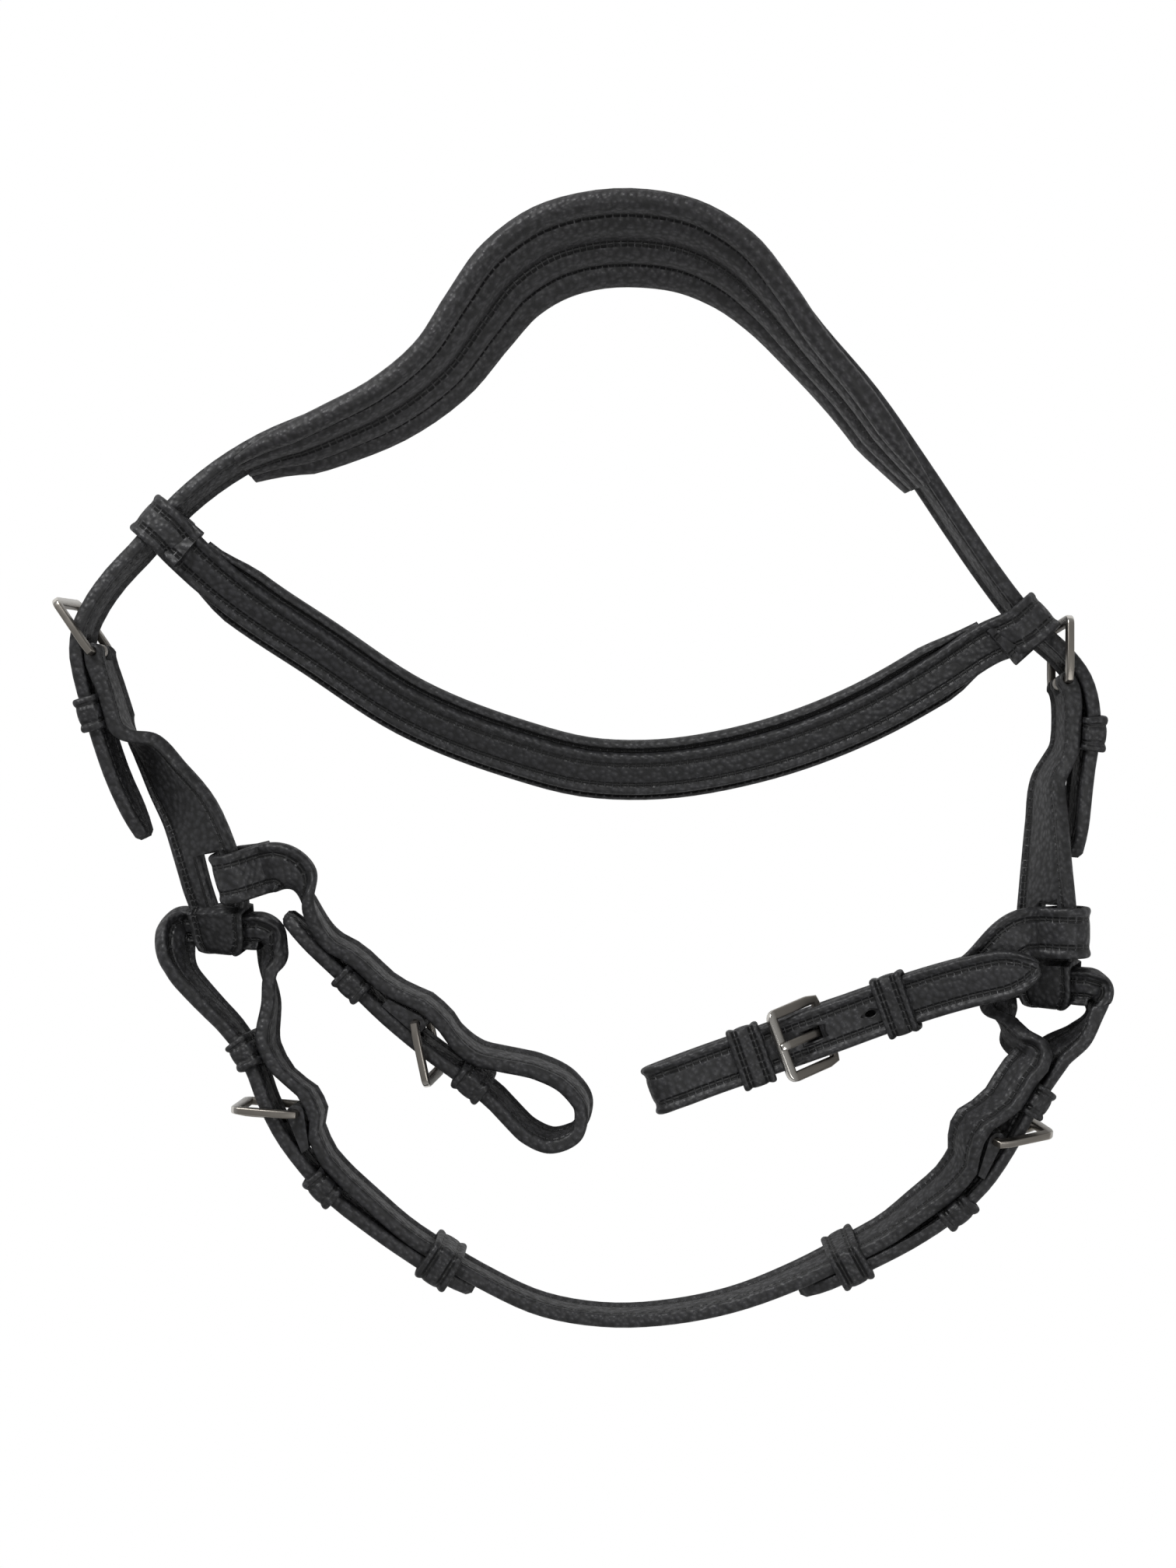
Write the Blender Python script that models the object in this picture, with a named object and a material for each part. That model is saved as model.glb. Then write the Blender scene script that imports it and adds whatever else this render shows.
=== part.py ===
"""Synthetic bridle laid flat, with its straps on edge and each buckle done up.

Metres, +Z up, +Y towards the crown. Every strap follows a route: a smooth line
through stations, with the direction of the strap's width at each one. Pieces on
a route are laid out in its own coordinates: s along it, n out of its face, and
w across its width.
"""

import math

import bmesh
import bpy
import numpy as np
from mathutils import Matrix

# The bridle as it lies
LAID_WIDTH = 0.412
LAID_LENGTH = 0.448

# Straps
STRAP_WIDTH = 0.020
STRAP_THICKNESS = 0.0055
SKIVED_THICKNESS = 0.003
TIP_LENGTH = 0.016
GAP = 0.0003

# Keepers and runners
KEEPER_WIDTH = 0.013
KEEPER_WALL = 0.002
KEEPER_PLAY = 0.0004
RUNNER_PLAY = 0.0008

# Buckles
RAIL_WIDTH = 0.004
RAIL_THICKNESS = 0.003
RAIL_CLEARANCE = 0.001
HEEL_DIAMETER = 0.003
BUCKLE_LENGTH = 0.027
TONGUE_WIDTH = 0.004
TONGUE_THICKNESS = 0.0022
COIL_WALL = 0.0012
TONGUE_PLAY = 0.0006

# Chapes
CHAPE_LAYER = 0.0018
CHAPE_LENGTH = 0.015
# How much deeper than snug the heel bar lies under the billet
CHEEK_SLACK = 0.0005
NOSE_SLACK = 0.003
BIT_SLACK = 0.0

# Cheek tabs, narrower at the foot, where the noseband strap goes through squeezed to a share of its width
TAB_WIDTH = 0.028
TAB_FOOT_WIDTH = 0.024
TAB_THICKNESS = 0.006
TAB_LAYER = 0.0018
TAB_RAIL = 0.007
SLOT_WIDTH = 0.0095
TAB_HEM = 0.0025
LOOP_CLEARANCE = 0.0013
JOIN_SHARE = 1.5
SQUEEZE_SHARE = 0.75
TUNNEL_PLAY = 0.0007
TUNNEL_FLARE = 0.004

# Browband
BAND_WIDTH = 0.018
BAND_THICKNESS = 0.004
BAND_PAD_WIDTH = 0.026
BAND_PAD_THICKNESS = 0.007
LOOP_PLAY = 0.0018

# Crown pad
CROWN_PAD_WIDTH = 0.054
CROWN_PAD_END_WIDTH = 0.034
CROWN_PAD_THICKNESS = 0.008

# How steeply the buckle frames lie across their billets, in degrees
CHEEK_FRAME_LEAN = 34
NOSE_FRAME_LEAN = 58
BIT_FRAME_LEAN = 40

# How far a buckle frame rocks and its tongue lifts while the billet is threaded, in degrees
FRAME_ROCK = 4
TONGUE_LIFT = 6

# Places along the headpiece, as shares of its length: the crown pad's ends and the browband's loops
CROWN_START_SHARE = 0.257
CROWN_END_SHARE = 0.755
# Thickness left at the crown pad's ends, and how soon it is full
PAD_END_SHARE = 0.35
PAD_ROUNDING_SHARE = 0.11
BAND_LEFT_SHARE = 0.199
# From the right cheek buckle's heel bar back to the middle of the browband's loop
BAND_TO_BUCKLE = 0.0273

# Distances along a strap from a buckle's heel bar to the middle of a keeper
CHEEK_KEEPER_STEP = 0.024
NOSE_UPPER_STEP = 0.030
NOSE_LOWER_STEP = 0.031
NOSE_LEAD = 0.014
BIT_LOOP_KEEPER_STEP = 0.031
BIT_TIP_KEEPER_STEP = 0.030

# Fineness of the lofts: the most that a strap bends or twists between two sections, and the longest step
BEND_STEP = 11
TWIST_STEP = 4
LONGEST_STEP = 0.018

# Stations: shares of LAID_WIDTH and LAID_LENGTH, height as a share of STRAP_WIDTH, outward lean in degrees
HEADPIECE_SHARES = (
    (-0.427, -0.065, 0.65, 12),
    (-0.440, -0.039, 0.68, 12),
    (-0.454, -0.010, 0.72, 12),
    (-0.465, 0.020, 0.78, 12),
    (-0.473, 0.045, 0.83, 12),
    (-0.483, 0.077, 0.87, 12),
    (-0.487, 0.099, 0.88, 12),
    (-0.485, 0.119, 0.87, 12),
    (-0.475, 0.140, 0.84, 12),
    (-0.458, 0.163, 0.80, 12),
    (-0.430, 0.191, 0.77, 12),
    (-0.397, 0.226, 0.77, 13),
    (-0.352, 0.260, 0.78, 16),
    (-0.308, 0.283, 0.85, 19),
    (-0.252, 0.303, 0.96, 23),
    (-0.195, 0.327, 1.04, 25),
    (-0.147, 0.361, 1.10, 27),
    (-0.115, 0.400, 1.14, 30),
    (-0.082, 0.437, 1.16, 33),
    (-0.041, 0.462, 1.17, 35),
    (0.004, 0.474, 1.17, 35),
    (0.052, 0.476, 1.17, 35),
    (0.102, 0.468, 1.18, 33),
    (0.147, 0.447, 1.19, 28),
    (0.184, 0.416, 1.18, 20),
    (0.220, 0.378, 1.12, 14),
    (0.266, 0.330, 1.02, 13),
    (0.320, 0.261, 0.88, 13),
    (0.357, 0.211, 0.77, 13),
    (0.386, 0.172, 0.77, 13),
    (0.412, 0.140, 0.79, 13),
    (0.437, 0.114, 0.82, 13),
    (0.459, 0.095, 0.86, 12),
    (0.475, 0.074, 0.88, 12),
    (0.482, 0.050, 0.87, 12),
    (0.482, 0.024, 0.82, 12),
    (0.478, -0.004, 0.77, 12),
    (0.474, -0.043, 0.68, 12),
    (0.470, -0.082, 0.65, 12),
)
NOSEBAND_SHARES = (
    (0.449, -0.256, 1.00, 32),
    (0.434, -0.274, 1.00, 36),
    (0.417, -0.297, 1.02, 38),
    (0.398, -0.330, 1.02, 35),
    (0.375, -0.364, 0.96, 30),
    (0.347, -0.391, 0.86, 25),
    (0.315, -0.413, 0.78, 21),
    (0.265, -0.439, 0.70, 17),
    (0.205, -0.467, 0.64, 13),
    (0.146, -0.488, 0.58, 10),
    (0.084, -0.500, 0.55, 9),
    (0.020, -0.503, 0.55, 8),
    (-0.050, -0.492, 0.56, 8),
    (-0.106, -0.468, 0.62, 8),
    (-0.160, -0.438, 0.67, 8),
    (-0.210, -0.406, 0.71, 8),
    (-0.245, -0.380, 0.76, 8),
    (-0.270, -0.354, 0.81, 8),
    (-0.292, -0.326, 0.84, 8),
    (-0.308, -0.297, 0.83, 8),
    (-0.319, -0.270, 0.77, 9),
    (-0.330, -0.250, 0.71, 10),
    (-0.344, -0.233, 0.68, 12),
)
BROWBAND_SHARES = (
    (-0.388, 0.190, 1.27, -74),
    (-0.365, 0.170, 1.22, -70),
    (-0.330, 0.144, 1.13, -66),
    (-0.262, 0.102, 1.00, -64),
    (-0.170, 0.047, 0.90, -62),
    (-0.074, 0.012, 0.85, -62),
    (0.004, -0.006, 0.84, -62),
    (0.052, -0.008, 0.84, -62),
    (0.162, 0.007, 0.85, -62),
    (0.269, 0.043, 0.92, -64),
    (0.340, 0.080, 1.08, -68),
    (0.385, 0.107, 1.24, -72),
)

# What differs between the two sides: each row of the tab tables leans towards the tab's rail edge
SIDES = {
    "left": {
        "heel_share": 0.112,
        "nose_heel_share": 0.100,
        "nose_upper_share": 1.0,
        "nose_lead_share": 1.0,
        "nose_runner_share": 0.305,
        "nose_tip_share": 0.345,
        "bit_heel_share": 0.61,
        "bit_merge_share": 0.20,
        "bit_base_share": 0.74,
        "bit_leaves_at": -16,
        "tab": (
            (-0.424, 0.014, 0.78, 28),
            (-0.405, -0.013, 0.85, 42),
            (-0.382, -0.046, 0.95, 56),
            (-0.369, -0.077, 0.98, 63),
            (-0.360, -0.105, 0.92, 66),
            (-0.354, -0.136, 0.72, 65),
            (-0.351, -0.168, 0.47, 64),
        ),
        "strand_to_tab": (
            (-0.371, -0.207, 0.64, 15),
            (-0.394, -0.180, 0.62, 22),
            (-0.399, -0.154, 0.60, 45),
        ),
        "strand_from_tab": (
            (-0.305, -0.162, 0.82, 40),
            (-0.309, -0.180, 0.72, 14),
            (-0.306, -0.210, 0.67, -4),
        ),
        "bit": (
            (-0.291, -0.133, 0.88, 10),
            (-0.262, -0.159, 0.78, 12),
            (-0.223, -0.193, 0.74, 12),
            (-0.190, -0.222, 0.78, 12),
            (-0.153, -0.250, 0.82, 12),
            (-0.107, -0.281, 0.76, 14),
            (-0.087, -0.297, 0.72, 15),
        ),
        "bit_loop": (
            (-0.105, -0.256, 0.74),
            (-0.079, -0.262, 0.70),
            (-0.046, -0.269, 0.67),
            (-0.018, -0.283, 0.66),
            (-0.004, -0.302, 0.66),
            (-0.010, -0.325, 0.66),
            (-0.034, -0.334, 0.66),
            (-0.056, -0.326, 0.66),
            (-0.073, -0.311, 0.68),
        ),
    },
    "right": {
        "heel_share": 0.894,
        "nose_heel_share": 0.096,
        "nose_upper_share": 0.70,
        "nose_lead_share": 0.50,
        "nose_runner_share": 0.281,
        "nose_tip_share": 0.336,
        "bit_heel_share": 0.60,
        "bit_merge_share": 0.20,
        "bit_base_share": 0.90,
        "bit_leaves_at": 42,
        "tab": (
            (0.446, -0.014, 0.78, 18),
            (0.444, -0.053, 0.82, 24),
            (0.443, -0.094, 0.92, 32),
            (0.443, -0.126, 0.98, 42),
            (0.443, -0.155, 0.96, 50),
            (0.445, -0.186, 0.86, 58),
            (0.447, -0.216, 0.66, 62),
        ),
        "strand_to_tab": (
            (0.407, -0.236, 0.72, -10),
            (0.399, -0.214, 0.50, 42),
        ),
        "strand_from_tab": (
            (0.490, -0.206, 1.04, 12),
            (0.489, -0.221, 1.00, -2),
            (0.475, -0.239, 0.98, 14),
        ),
        "bit": (
            (0.430, -0.178, 2.00, -90),
            (0.371, -0.190, 1.60, -90),
            (0.292, -0.214, 1.02, -90),
            (0.231, -0.235, 0.88, -90),
            (0.164, -0.257, 0.84, -90),
            (0.109, -0.275, 0.80, -90),
            (0.092, -0.281, 0.80, -90),
        ),
        "bit_loop": (
            (0.078, -0.286, 0.28),
            (0.069, -0.289, 0.35),
            (0.0655, -0.290, 0.52),
            (0.069, -0.289, 0.70),
            (0.077, -0.286, 0.77),
        ),
    },
}

# Section of a strap, as shares of its half width and half thickness
STRAP_SECTION_SHARES = (
    (1, 0.5), (0.86, 1), (-0.86, 1), (-1, 0.5),
    (-1, -0.5), (-0.86, -1), (0.86, -1), (1, -0.5),
)
SQUARE_SHARES = ((1, 1), (-1, 1), (-1, -1), (1, -1))
# Section of the crown pad: rolls and stitched channels on the face, flat behind
CROWN_SECTION_SHARES = (
    (1, 0.1), (0.92, 0.8), (0.76, 1), (0.62, 0.35), (0.46, 0.8), (0.22, 0.8), (0.06, 0.35), (-0.1, 0.9),
    (-0.3, 0.9), (-0.46, 0.35), (-0.64, 0.9), (-0.86, 0.8), (-1, 0), (-0.9, -1), (-0.4, -1), (0.4, -1),
    (0.9, -1), (1, -0.6),
)
# How far the corners of an eight-sided bar stand out, so that its flats come to the bar's own half width
EIGHT_SIDED_SHARE = 1.082
# The tongue from coil to tip: shares of the toe bar's reach, of its height over the frame, of the thickness
TONGUE_SHARES = ((0.16, 1.0, 0.9), (0.6, 1.08, 1), (0.92, 1.1, 1), (1.05, 1.02, 0.9), (1.1, 0.9, 0.5))
# Section of the browband pad: a roll along each edge, with the flat between them under the strap
BAND_FLAT_SHARE = 0.35
BAND_SECTION_SHARES = (
    (1, 0), (0.94, 0.75), (0.8, 0.8), (0.72, BAND_FLAT_SHARE), (-0.72, BAND_FLAT_SHARE), (-0.8, 0.8),
    (-0.94, 0.75), (-1, 0),
    (-0.84, -0.9), (0, -1), (0.84, -0.9),
)

# Worked out from the sizes above
HALF_WIDTH = STRAP_WIDTH / 2
HALF_THICKNESS = STRAP_THICKNESS / 2
HEEL_RADIUS = HEEL_DIAMETER / 2
FRAME_INNER_HALF = HALF_WIDTH + RAIL_CLEARANCE
TOE_REACH = BUCKLE_LENGTH - RAIL_WIDTH / 2 - HEEL_RADIUS
BORE_RADIUS = HEEL_RADIUS + GAP
FOLD_RADIUS = BORE_RADIUS + CHAPE_LAYER
HEEL_DEPTH = HALF_THICKNESS + GAP + FOLD_RADIUS
COIL_RADIUS = HEEL_RADIUS + GAP + COIL_WALL / 2
CUT_OVERRUN = STRAP_WIDTH
SQUEEZED_HALF_WIDTH = SQUEEZE_SHARE * HALF_WIDTH
SQUEEZED_HALF_THICKNESS = HALF_THICKNESS / SQUEEZE_SHARE
TUNNEL_HALF = SQUEEZED_HALF_WIDTH + TUNNEL_PLAY
TUNNEL_DEPTH = 2 * (SQUEEZED_HALF_THICKNESS + TUNNEL_PLAY)

# Depths of the under strap below the billet's middle: against it, under a keeper, a chape and a heel bar
TIGHT = -(STRAP_THICKNESS + GAP)
UNDER_KEEPER = -(STRAP_THICKNESS + KEEPER_WALL + 2 * KEEPER_PLAY)
UNDER_CHAPE = -(STRAP_THICKNESS + 2 * CHAPE_LAYER + 2 * GAP)
UNDER_HEEL = -(HEEL_DEPTH + FOLD_RADIUS + GAP + HALF_THICKNESS)

for old in list(bpy.data.objects):
    bpy.data.objects.remove(old)
parts = bpy.data.collections.new("synthetic_bridle")
cutters = bpy.data.collections.new("bridle_cutters")
for group in (parts, cutters):
    bpy.context.scene.collection.children.link(group)


def material(name, colour, roughness, metallic=0.0):
    made = bpy.data.materials.new(name)
    made.use_nodes = True
    shader = made.node_tree.nodes["Principled BSDF"]
    shader.inputs["Base Color"].default_value = (*colour, 1)
    shader.inputs["Roughness"].default_value = roughness
    shader.inputs["Metallic"].default_value = metallic
    return made


def unit(vector):
    return vector / np.linalg.norm(vector, axis=-1, keepdims=True)


def through(times, values, wanted):
    """A smooth curve through values at times, read at the wanted times."""
    slopes = np.gradient(values, times, axis=0)
    after = np.clip(np.searchsorted(times, wanted, side="right"), 1, len(times) - 1)
    step = (times[after] - times[after - 1])[:, None]
    t = (wanted - times[after - 1])[:, None] / step
    start, end = values[after - 1], values[after]
    lean_in, lean_out = slopes[after - 1] * step, slopes[after] * step
    bend = t * t * (3 - 2 * t)
    return start + (end - start) * bend + lean_in * t * (1 - t) ** 2 - lean_out * t * t * (1 - t)


class Route:
    """A line through stations. Each station is a place and the direction of the strap's width there."""

    def __init__(self, stations, front=1):
        places = np.array([place for place, _ in stations])
        widths = np.array([width for _, width in stations])
        chord = np.append(0, np.cumsum(np.linalg.norm(np.diff(places, axis=0), axis=1)))
        fine = np.linspace(0, chord[-1], len(stations) * 24)
        line = through(chord, np.hstack([places, widths]), fine)
        self.front = front
        self.places = line[:, :3]
        self.s = np.append(0, np.cumsum(np.linalg.norm(np.diff(self.places, axis=0), axis=1)))
        self.length = self.s[-1]
        self.tangents = unit(np.gradient(self.places, self.s, axis=0))
        across = line[:, 3:]
        across = across - (across * self.tangents).sum(1, keepdims=True) * self.tangents
        self.widths = unit(across)

    def frame(self, s):
        """Place, tangent, outward normal and width direction at s, straight on past either end."""
        inside = min(max(s, 0), self.length)
        place, tangent, width = (
            np.array([np.interp(inside, self.s, column) for column in table.T])
            for table in (self.places, self.tangents, self.widths)
        )
        tangent = unit(tangent)
        width = unit(width - width @ tangent * tangent)
        normal = self.front * np.cross(width, tangent)
        return place + (s - inside) * tangent, tangent, normal, width

    def near(self, place):
        """The s whose place is nearest to the one given."""
        return self.s[np.argmin(np.linalg.norm(self.places - place, axis=1))]

    def place(self, s, n=0.0, w=0.0):
        place, _, normal, width = self.frame(s)
        return place + n * normal + w * width

    def stops(self, start, end, marks=()):
        """Places for sections: closer where the strap bends or twists, and at each mark."""
        first, last = sorted((start, end))
        marks = sorted(mark for mark in marks if first + 2 * GAP < mark < last - 2 * GAP)
        marks = [mark for mark, before in zip(marks, [first] + marks) if mark - before > GAP]
        found = [first]
        for s in np.linspace(first, last, 400)[1:-1]:
            _, tangent, _, width = self.frame(s)
            _, old_tangent, _, old_width = self.frame(found[-1])
            bent = math.degrees(math.acos(min(1, tangent @ old_tangent)))
            twisted = math.degrees(abs(np.cross(old_width, width) @ tangent))
            if marks and s >= marks[0]:
                found.append(marks.pop(0))
            elif bent > BEND_STEP or twisted > TWIST_STEP or s - found[-1] > LONGEST_STEP:
                found.append(s)
        found += marks + [last]
        return found if end >= start else found[::-1]


def spot(x_share, y_share, height_share):
    return np.array([x_share * LAID_WIDTH, y_share * LAID_LENGTH, height_share * STRAP_WIDTH])


def leaning(rows, side):
    """Stations from rows of shares, each leaning out from upright towards one side of the line."""
    places = np.array([spot(*row[:3]) for row in rows])
    tangents = unit(np.gradient(places, axis=0))
    stations = []
    for place, tangent, row in zip(places, tangents, rows):
        right = unit(np.cross(tangent, (0, 0, 1)))
        lean = math.radians(row[3])
        stations.append((place, math.cos(lean) * np.cross(right, tangent) + math.sin(lean) * side * right))
    return stations


def section(route, s, n=0.0, w=0.0, half_width=HALF_WIDTH, half_thickness=HALF_THICKNESS):
    """One section of a loft: its middle, and its half width and half thickness as vectors."""
    _, _, normal, width = route.frame(s)
    return route.place(s, n, w), half_width * width, half_thickness * normal


def link(name, mesh, look, group=None):
    data = bpy.data.meshes.new(name)
    mesh.normal_update()
    bmesh.ops.recalc_face_normals(mesh, faces=mesh.faces[:])
    if mesh.calc_volume(signed=True) < 0:
        bmesh.ops.reverse_faces(mesh, faces=mesh.faces[:])
    mesh.to_mesh(data)
    mesh.free()
    made = bpy.data.objects.new(name, data)
    (group or parts).objects.link(made)
    if look:
        data.materials.append(look)
    if group is cutters:
        made.hide_render = True
        made.display_type = "WIRE"
    return made


def loft(name, sections, look, shares=STRAP_SECTION_SHARES, closed=False, group=None):
    """A solid whose section is carried along from one place to the next."""
    mesh = bmesh.new()
    rings = [[middle + a * across + b * out for a, b in shares] for middle, across, out in sections]
    ring = [mesh.verts.new(corner) for corner in rings[0]]
    edges = [mesh.edges.new(pair) for pair in zip(ring, ring[1:] + ring[:1])]
    first = list(edges)
    if not closed:
        mesh.faces.new(ring)
    for corners in rings[1:]:
        made = bmesh.ops.extrude_edge_only(mesh, edges=edges)["geom"]
        fresh = {part for part in made if isinstance(part, bmesh.types.BMVert)}
        ring = [next(e.other_vert(v) for e in v.link_edges if e.other_vert(v) in fresh) for v in ring]
        for corner, at in zip(ring, corners):
            corner.co = at
        edges = [mesh.edges.get(pair) for pair in zip(ring, ring[1:] + ring[:1])]
    if closed:
        bmesh.ops.bridge_loops(mesh, edges=first + edges)
    else:
        mesh.faces.new(ring)
    return link(name, mesh, look, group)


def prism(name, outline, low, high, place, look=None, group=None):
    """An outline pushed from low to high, with each corner put where place(a, b, c) says."""
    mesh = bmesh.new()
    base = mesh.faces.new([mesh.verts.new((a, b, low)) for a, b in outline])
    top = bmesh.ops.extrude_face_region(mesh, geom=[base])["geom"]
    for corner in top:
        if isinstance(corner, bmesh.types.BMVert):
            corner.co.z = high
    for corner in mesh.verts:
        corner.co = place(*corner.co)
    return link(name, mesh, look, group)


def cut(solid, cutter):
    taken = solid.modifiers.new("cut_by_" + cutter.name, "BOOLEAN")
    taken.operation = "DIFFERENCE"
    taken.solver = "EXACT"
    taken.object = cutter


def arc(centre, radius, start, end, steps):
    """Points on an arc, with its angles in degrees."""
    turns = [math.radians(start + (end - start) * i / steps) for i in range(steps + 1)]
    return [(centre[0] + radius * math.cos(turn), centre[1] + radius * math.sin(turn)) for turn in turns]


def step(x):
    x = min(max(x, 0), 1)
    return x * x * (3 - 2 * x)


def profile(points, s):
    """A smooth line through (s, value) points, flat at each one."""
    points = sorted(points)
    value = points[0][1]
    for (a, low), (b, high) in zip(points, points[1:]):
        if s >= a:
            value = low + (high - low) * step((s - a) / (b - a))
    return value


def keeper(name, route, s, look, low, high, play=KEEPER_PLAY):
    """A band round a strap: low and high are the faces of what it holds."""
    half = KEEPER_WIDTH / 2
    middle = (low + high) / 2
    inner = (HALF_WIDTH + play, (high - low) / 2 + play)
    outer = (inner[0] + KEEPER_WALL, inner[1] + KEEPER_WALL)
    sections = []
    for way, grow in ((-1, inner), (-1, outer), (0, outer), (1, outer), (1, inner), (0, inner)):
        sections.append(section(route, s + way * half, middle, 0.0, *grow))
    return loft(name, sections, look, closed=True)


def buckle(side_name, route, heel_s, towards, lean, slack, frame_look):
    """A buckle done up on a strap. towards is the way along the route from heel bar to toe bar."""
    _, tangent, normal, _ = route.frame(heel_s)
    heel = route.place(heel_s, -HEEL_DEPTH - slack)
    angle = math.radians(lean)
    along = towards * tangent
    forward = math.cos(angle) * along + math.sin(angle) * normal
    outward = math.cos(angle) * normal - math.sin(angle) * along
    axis = np.cross(forward, outward)
    turned = Matrix(np.column_stack([forward, outward, axis]).tolist()).to_4x4()
    turned.translation = heel
    frame = frame_ring(side_name + "_buckle_frame", frame_look)
    tongue = tongue_bar(side_name + "_buckle_tongue", frame_look)
    for piece in (frame, tongue):
        piece.matrix_world = turned
    return turned


def frame_ring(name, look):
    """The frame about its heel bar: a round heel bar, and a flat toe bar and rails with rounded corners."""
    middle = FRAME_INNER_HALF + RAIL_WIDTH / 2
    inner_corner = RAIL_WIDTH / 2
    flat = (RAIL_WIDTH / 2, RAIL_THICKNESS / 2)
    round_half = (HEEL_RADIUS, HEEL_RADIUS)
    toe = TOE_REACH
    stations = [
        ((0, -FRAME_INNER_HALF), (-1, 0), round_half),
        ((0, FRAME_INNER_HALF), (-1, 0), round_half),
        ((HEEL_RADIUS / 3, middle - HEEL_RADIUS / 3), (-1, 1), (RAIL_WIDTH / 2, HEEL_RADIUS)),
        ((RAIL_WIDTH, middle), (0, 1), flat),
        ((toe - RAIL_WIDTH / 2, middle), (0, 1), flat),
        ((toe - inner_corner / 4, middle - inner_corner / 4), (1, 1), flat),
        ((toe, middle - RAIL_WIDTH / 2), (1, 0), flat),
    ]
    mirrored = [((x, -z), (a, -b), half) for (x, z), (a, b), half in stations[::-1]][:-2]
    sections = []
    for (x, z), (a, b), (half_across, half_up) in stations + mirrored:
        out = np.array([a, 0, b]) / math.hypot(a, b)
        sections.append((np.array([x, 0, z]), half_across * out, np.array([0, half_up, 0])))
    eight = arc((0, 0), EIGHT_SIDED_SHARE, 22.5, 337.5, 7)
    return loft(name, sections, look, shares=eight, closed=True)


def tongue_bar(name, look):
    """The tongue: a bar coiled round the heel bar that reaches over the toe bar."""
    rest = RAIL_THICKNESS / 2 + GAP + TONGUE_THICKNESS / 2
    sections = []
    half_coil = COIL_WALL / 2
    for x, y in arc((0, 0), COIL_RADIUS, 345, 95, 9):
        out = np.array([x, y, 0]) / math.hypot(x, y)
        sections.append((np.array([x, y, 0]), np.array([0, 0, TONGUE_WIDTH / 2]), half_coil * out))
    for reach, high, thick in TONGUE_SHARES:
        middle = np.array([reach * TOE_REACH, high * rest, 0])
        narrow = TONGUE_WIDTH / 2 * (0.75 if reach > 1 else 1)
        sections.append((middle, np.array([0, 0, narrow]), np.array([0, thick * TONGUE_THICKNESS / 2, 0])))
    return loft(name, sections, look)


def in_buckle(turned):
    """Puts a corner given in a buckle's own coordinates: towards the toe, outward, along the heel bar."""
    return lambda a, b, c: turned @ Matrix.Translation((a, b, c)).translation


def bore_for_heel(name, solid, turned):
    """The hole that the heel bar turns in."""
    half = FRAME_INNER_HALF
    circle = arc((0, 0), BORE_RADIUS, 0, 345, 23)
    cut(solid, prism(name + "_bore", circle, -half, half, in_buckle(turned), group=cutters))


def tongue_slot(name, solid, turned, lean):
    """The gap in a chape's fold in which the tongue's coil turns."""
    half = TONGUE_WIDTH / 2 + TONGUE_PLAY
    reach = COIL_RADIUS + COIL_WALL / 2 + GAP
    angle = math.radians(lean)
    outline = []
    for a, b in ((-reach, -1), (-reach, 1), (1, 1), (1, -1)):
        x = a if a < 0 else CUT_OVERRUN
        y = b * CUT_OVERRUN
        across = y * math.cos(angle) - x * math.sin(angle)
        outline.append((x * math.cos(angle) + y * math.sin(angle), across))
    cut(solid, prism(name + "_slot", outline, -half, half, in_buckle(turned), group=cutters))


def tongue_hole(name, solid, turned):
    """The billet's hole, long enough for the tongue to rock with the frame and lift."""
    half = TONGUE_WIDTH / 2 + TONGUE_PLAY
    far = TOE_REACH - RAIL_WIDTH / 2
    rest = RAIL_THICKNESS / 2 + GAP
    swing = math.radians(FRAME_ROCK + TONGUE_LIFT)
    top = rest + TONGUE_THICKNESS + TONGUE_PLAY
    outline = [(0, COIL_RADIUS / 2 - TONGUE_PLAY), (far, rest - TONGUE_PLAY)]
    for x in (far, 0):
        lifted = x * math.sin(swing) + top * math.cos(swing)
        outline.append((x * math.cos(swing) - top * math.sin(swing), lifted))
    cut(solid, prism(name + "_hole", outline, -half, half, in_buckle(turned), group=cutters))


def chape(name, route, heel_s, towards, slack, look):
    """A folded piece round the heel bar: two layers, sewn between the billet and the strap under it."""
    top = -(HALF_THICKNESS + GAP)
    outline = [(x * towards, y) for x, y in arc((0, -HEEL_DEPTH - slack), FOLD_RADIUS, -90, 90, 8)]
    outline += [(-towards * CHAPE_LENGTH, top), (-towards * CHAPE_LENGTH, top - 2 * CHAPE_LAYER)]
    rows = [(heel_s + x, n) for x, n in outline]
    half = FRAME_INNER_HALF - RAIL_CLEARANCE - GAP
    return prism(name, rows, -half, half, route.place, look)


def flat(route, s):
    """Places near s on a route, as if it ran straight on both ways."""
    place, tangent, normal, width = route.frame(s)
    return lambda a, b, c: place + (a - s) * tangent + b * normal + c * width


def keeper_marks(s):
    return [s - KEEPER_WIDTH / 2, s, s + KEEPER_WIDTH / 2]


def depth_marks(heel_s, towards, slack, keepers, ends):
    """Where the under strap dips: below each keeper, below the heel bar and at the sewn end of the chape."""
    marks = list(ends)
    for s in keepers:
        marks += [(s - KEEPER_WIDTH / 2, UNDER_KEEPER), (s + KEEPER_WIDTH / 2, UNDER_KEEPER)]
    for along in (towards * FOLD_RADIUS, -towards * FOLD_RADIUS):
        marks.append((heel_s + along, UNDER_HEEL - slack))
    marks.append((heel_s - towards * (CHAPE_LENGTH + GAP), UNDER_CHAPE))
    return marks


def tip_sections(route, tip, towards, n):
    """The pointed end of a billet at tip, where towards is the way along the route into the billet."""
    rows = []
    for along, wide in ((0, 0.3), (0.12, 0.5), (0.45, 0.8), (0.75, 0.95)):
        rows.append(section(route, tip + towards * along * TIP_LENGTH, n, 0.0, wide * HALF_WIDTH))
    return rows


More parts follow.
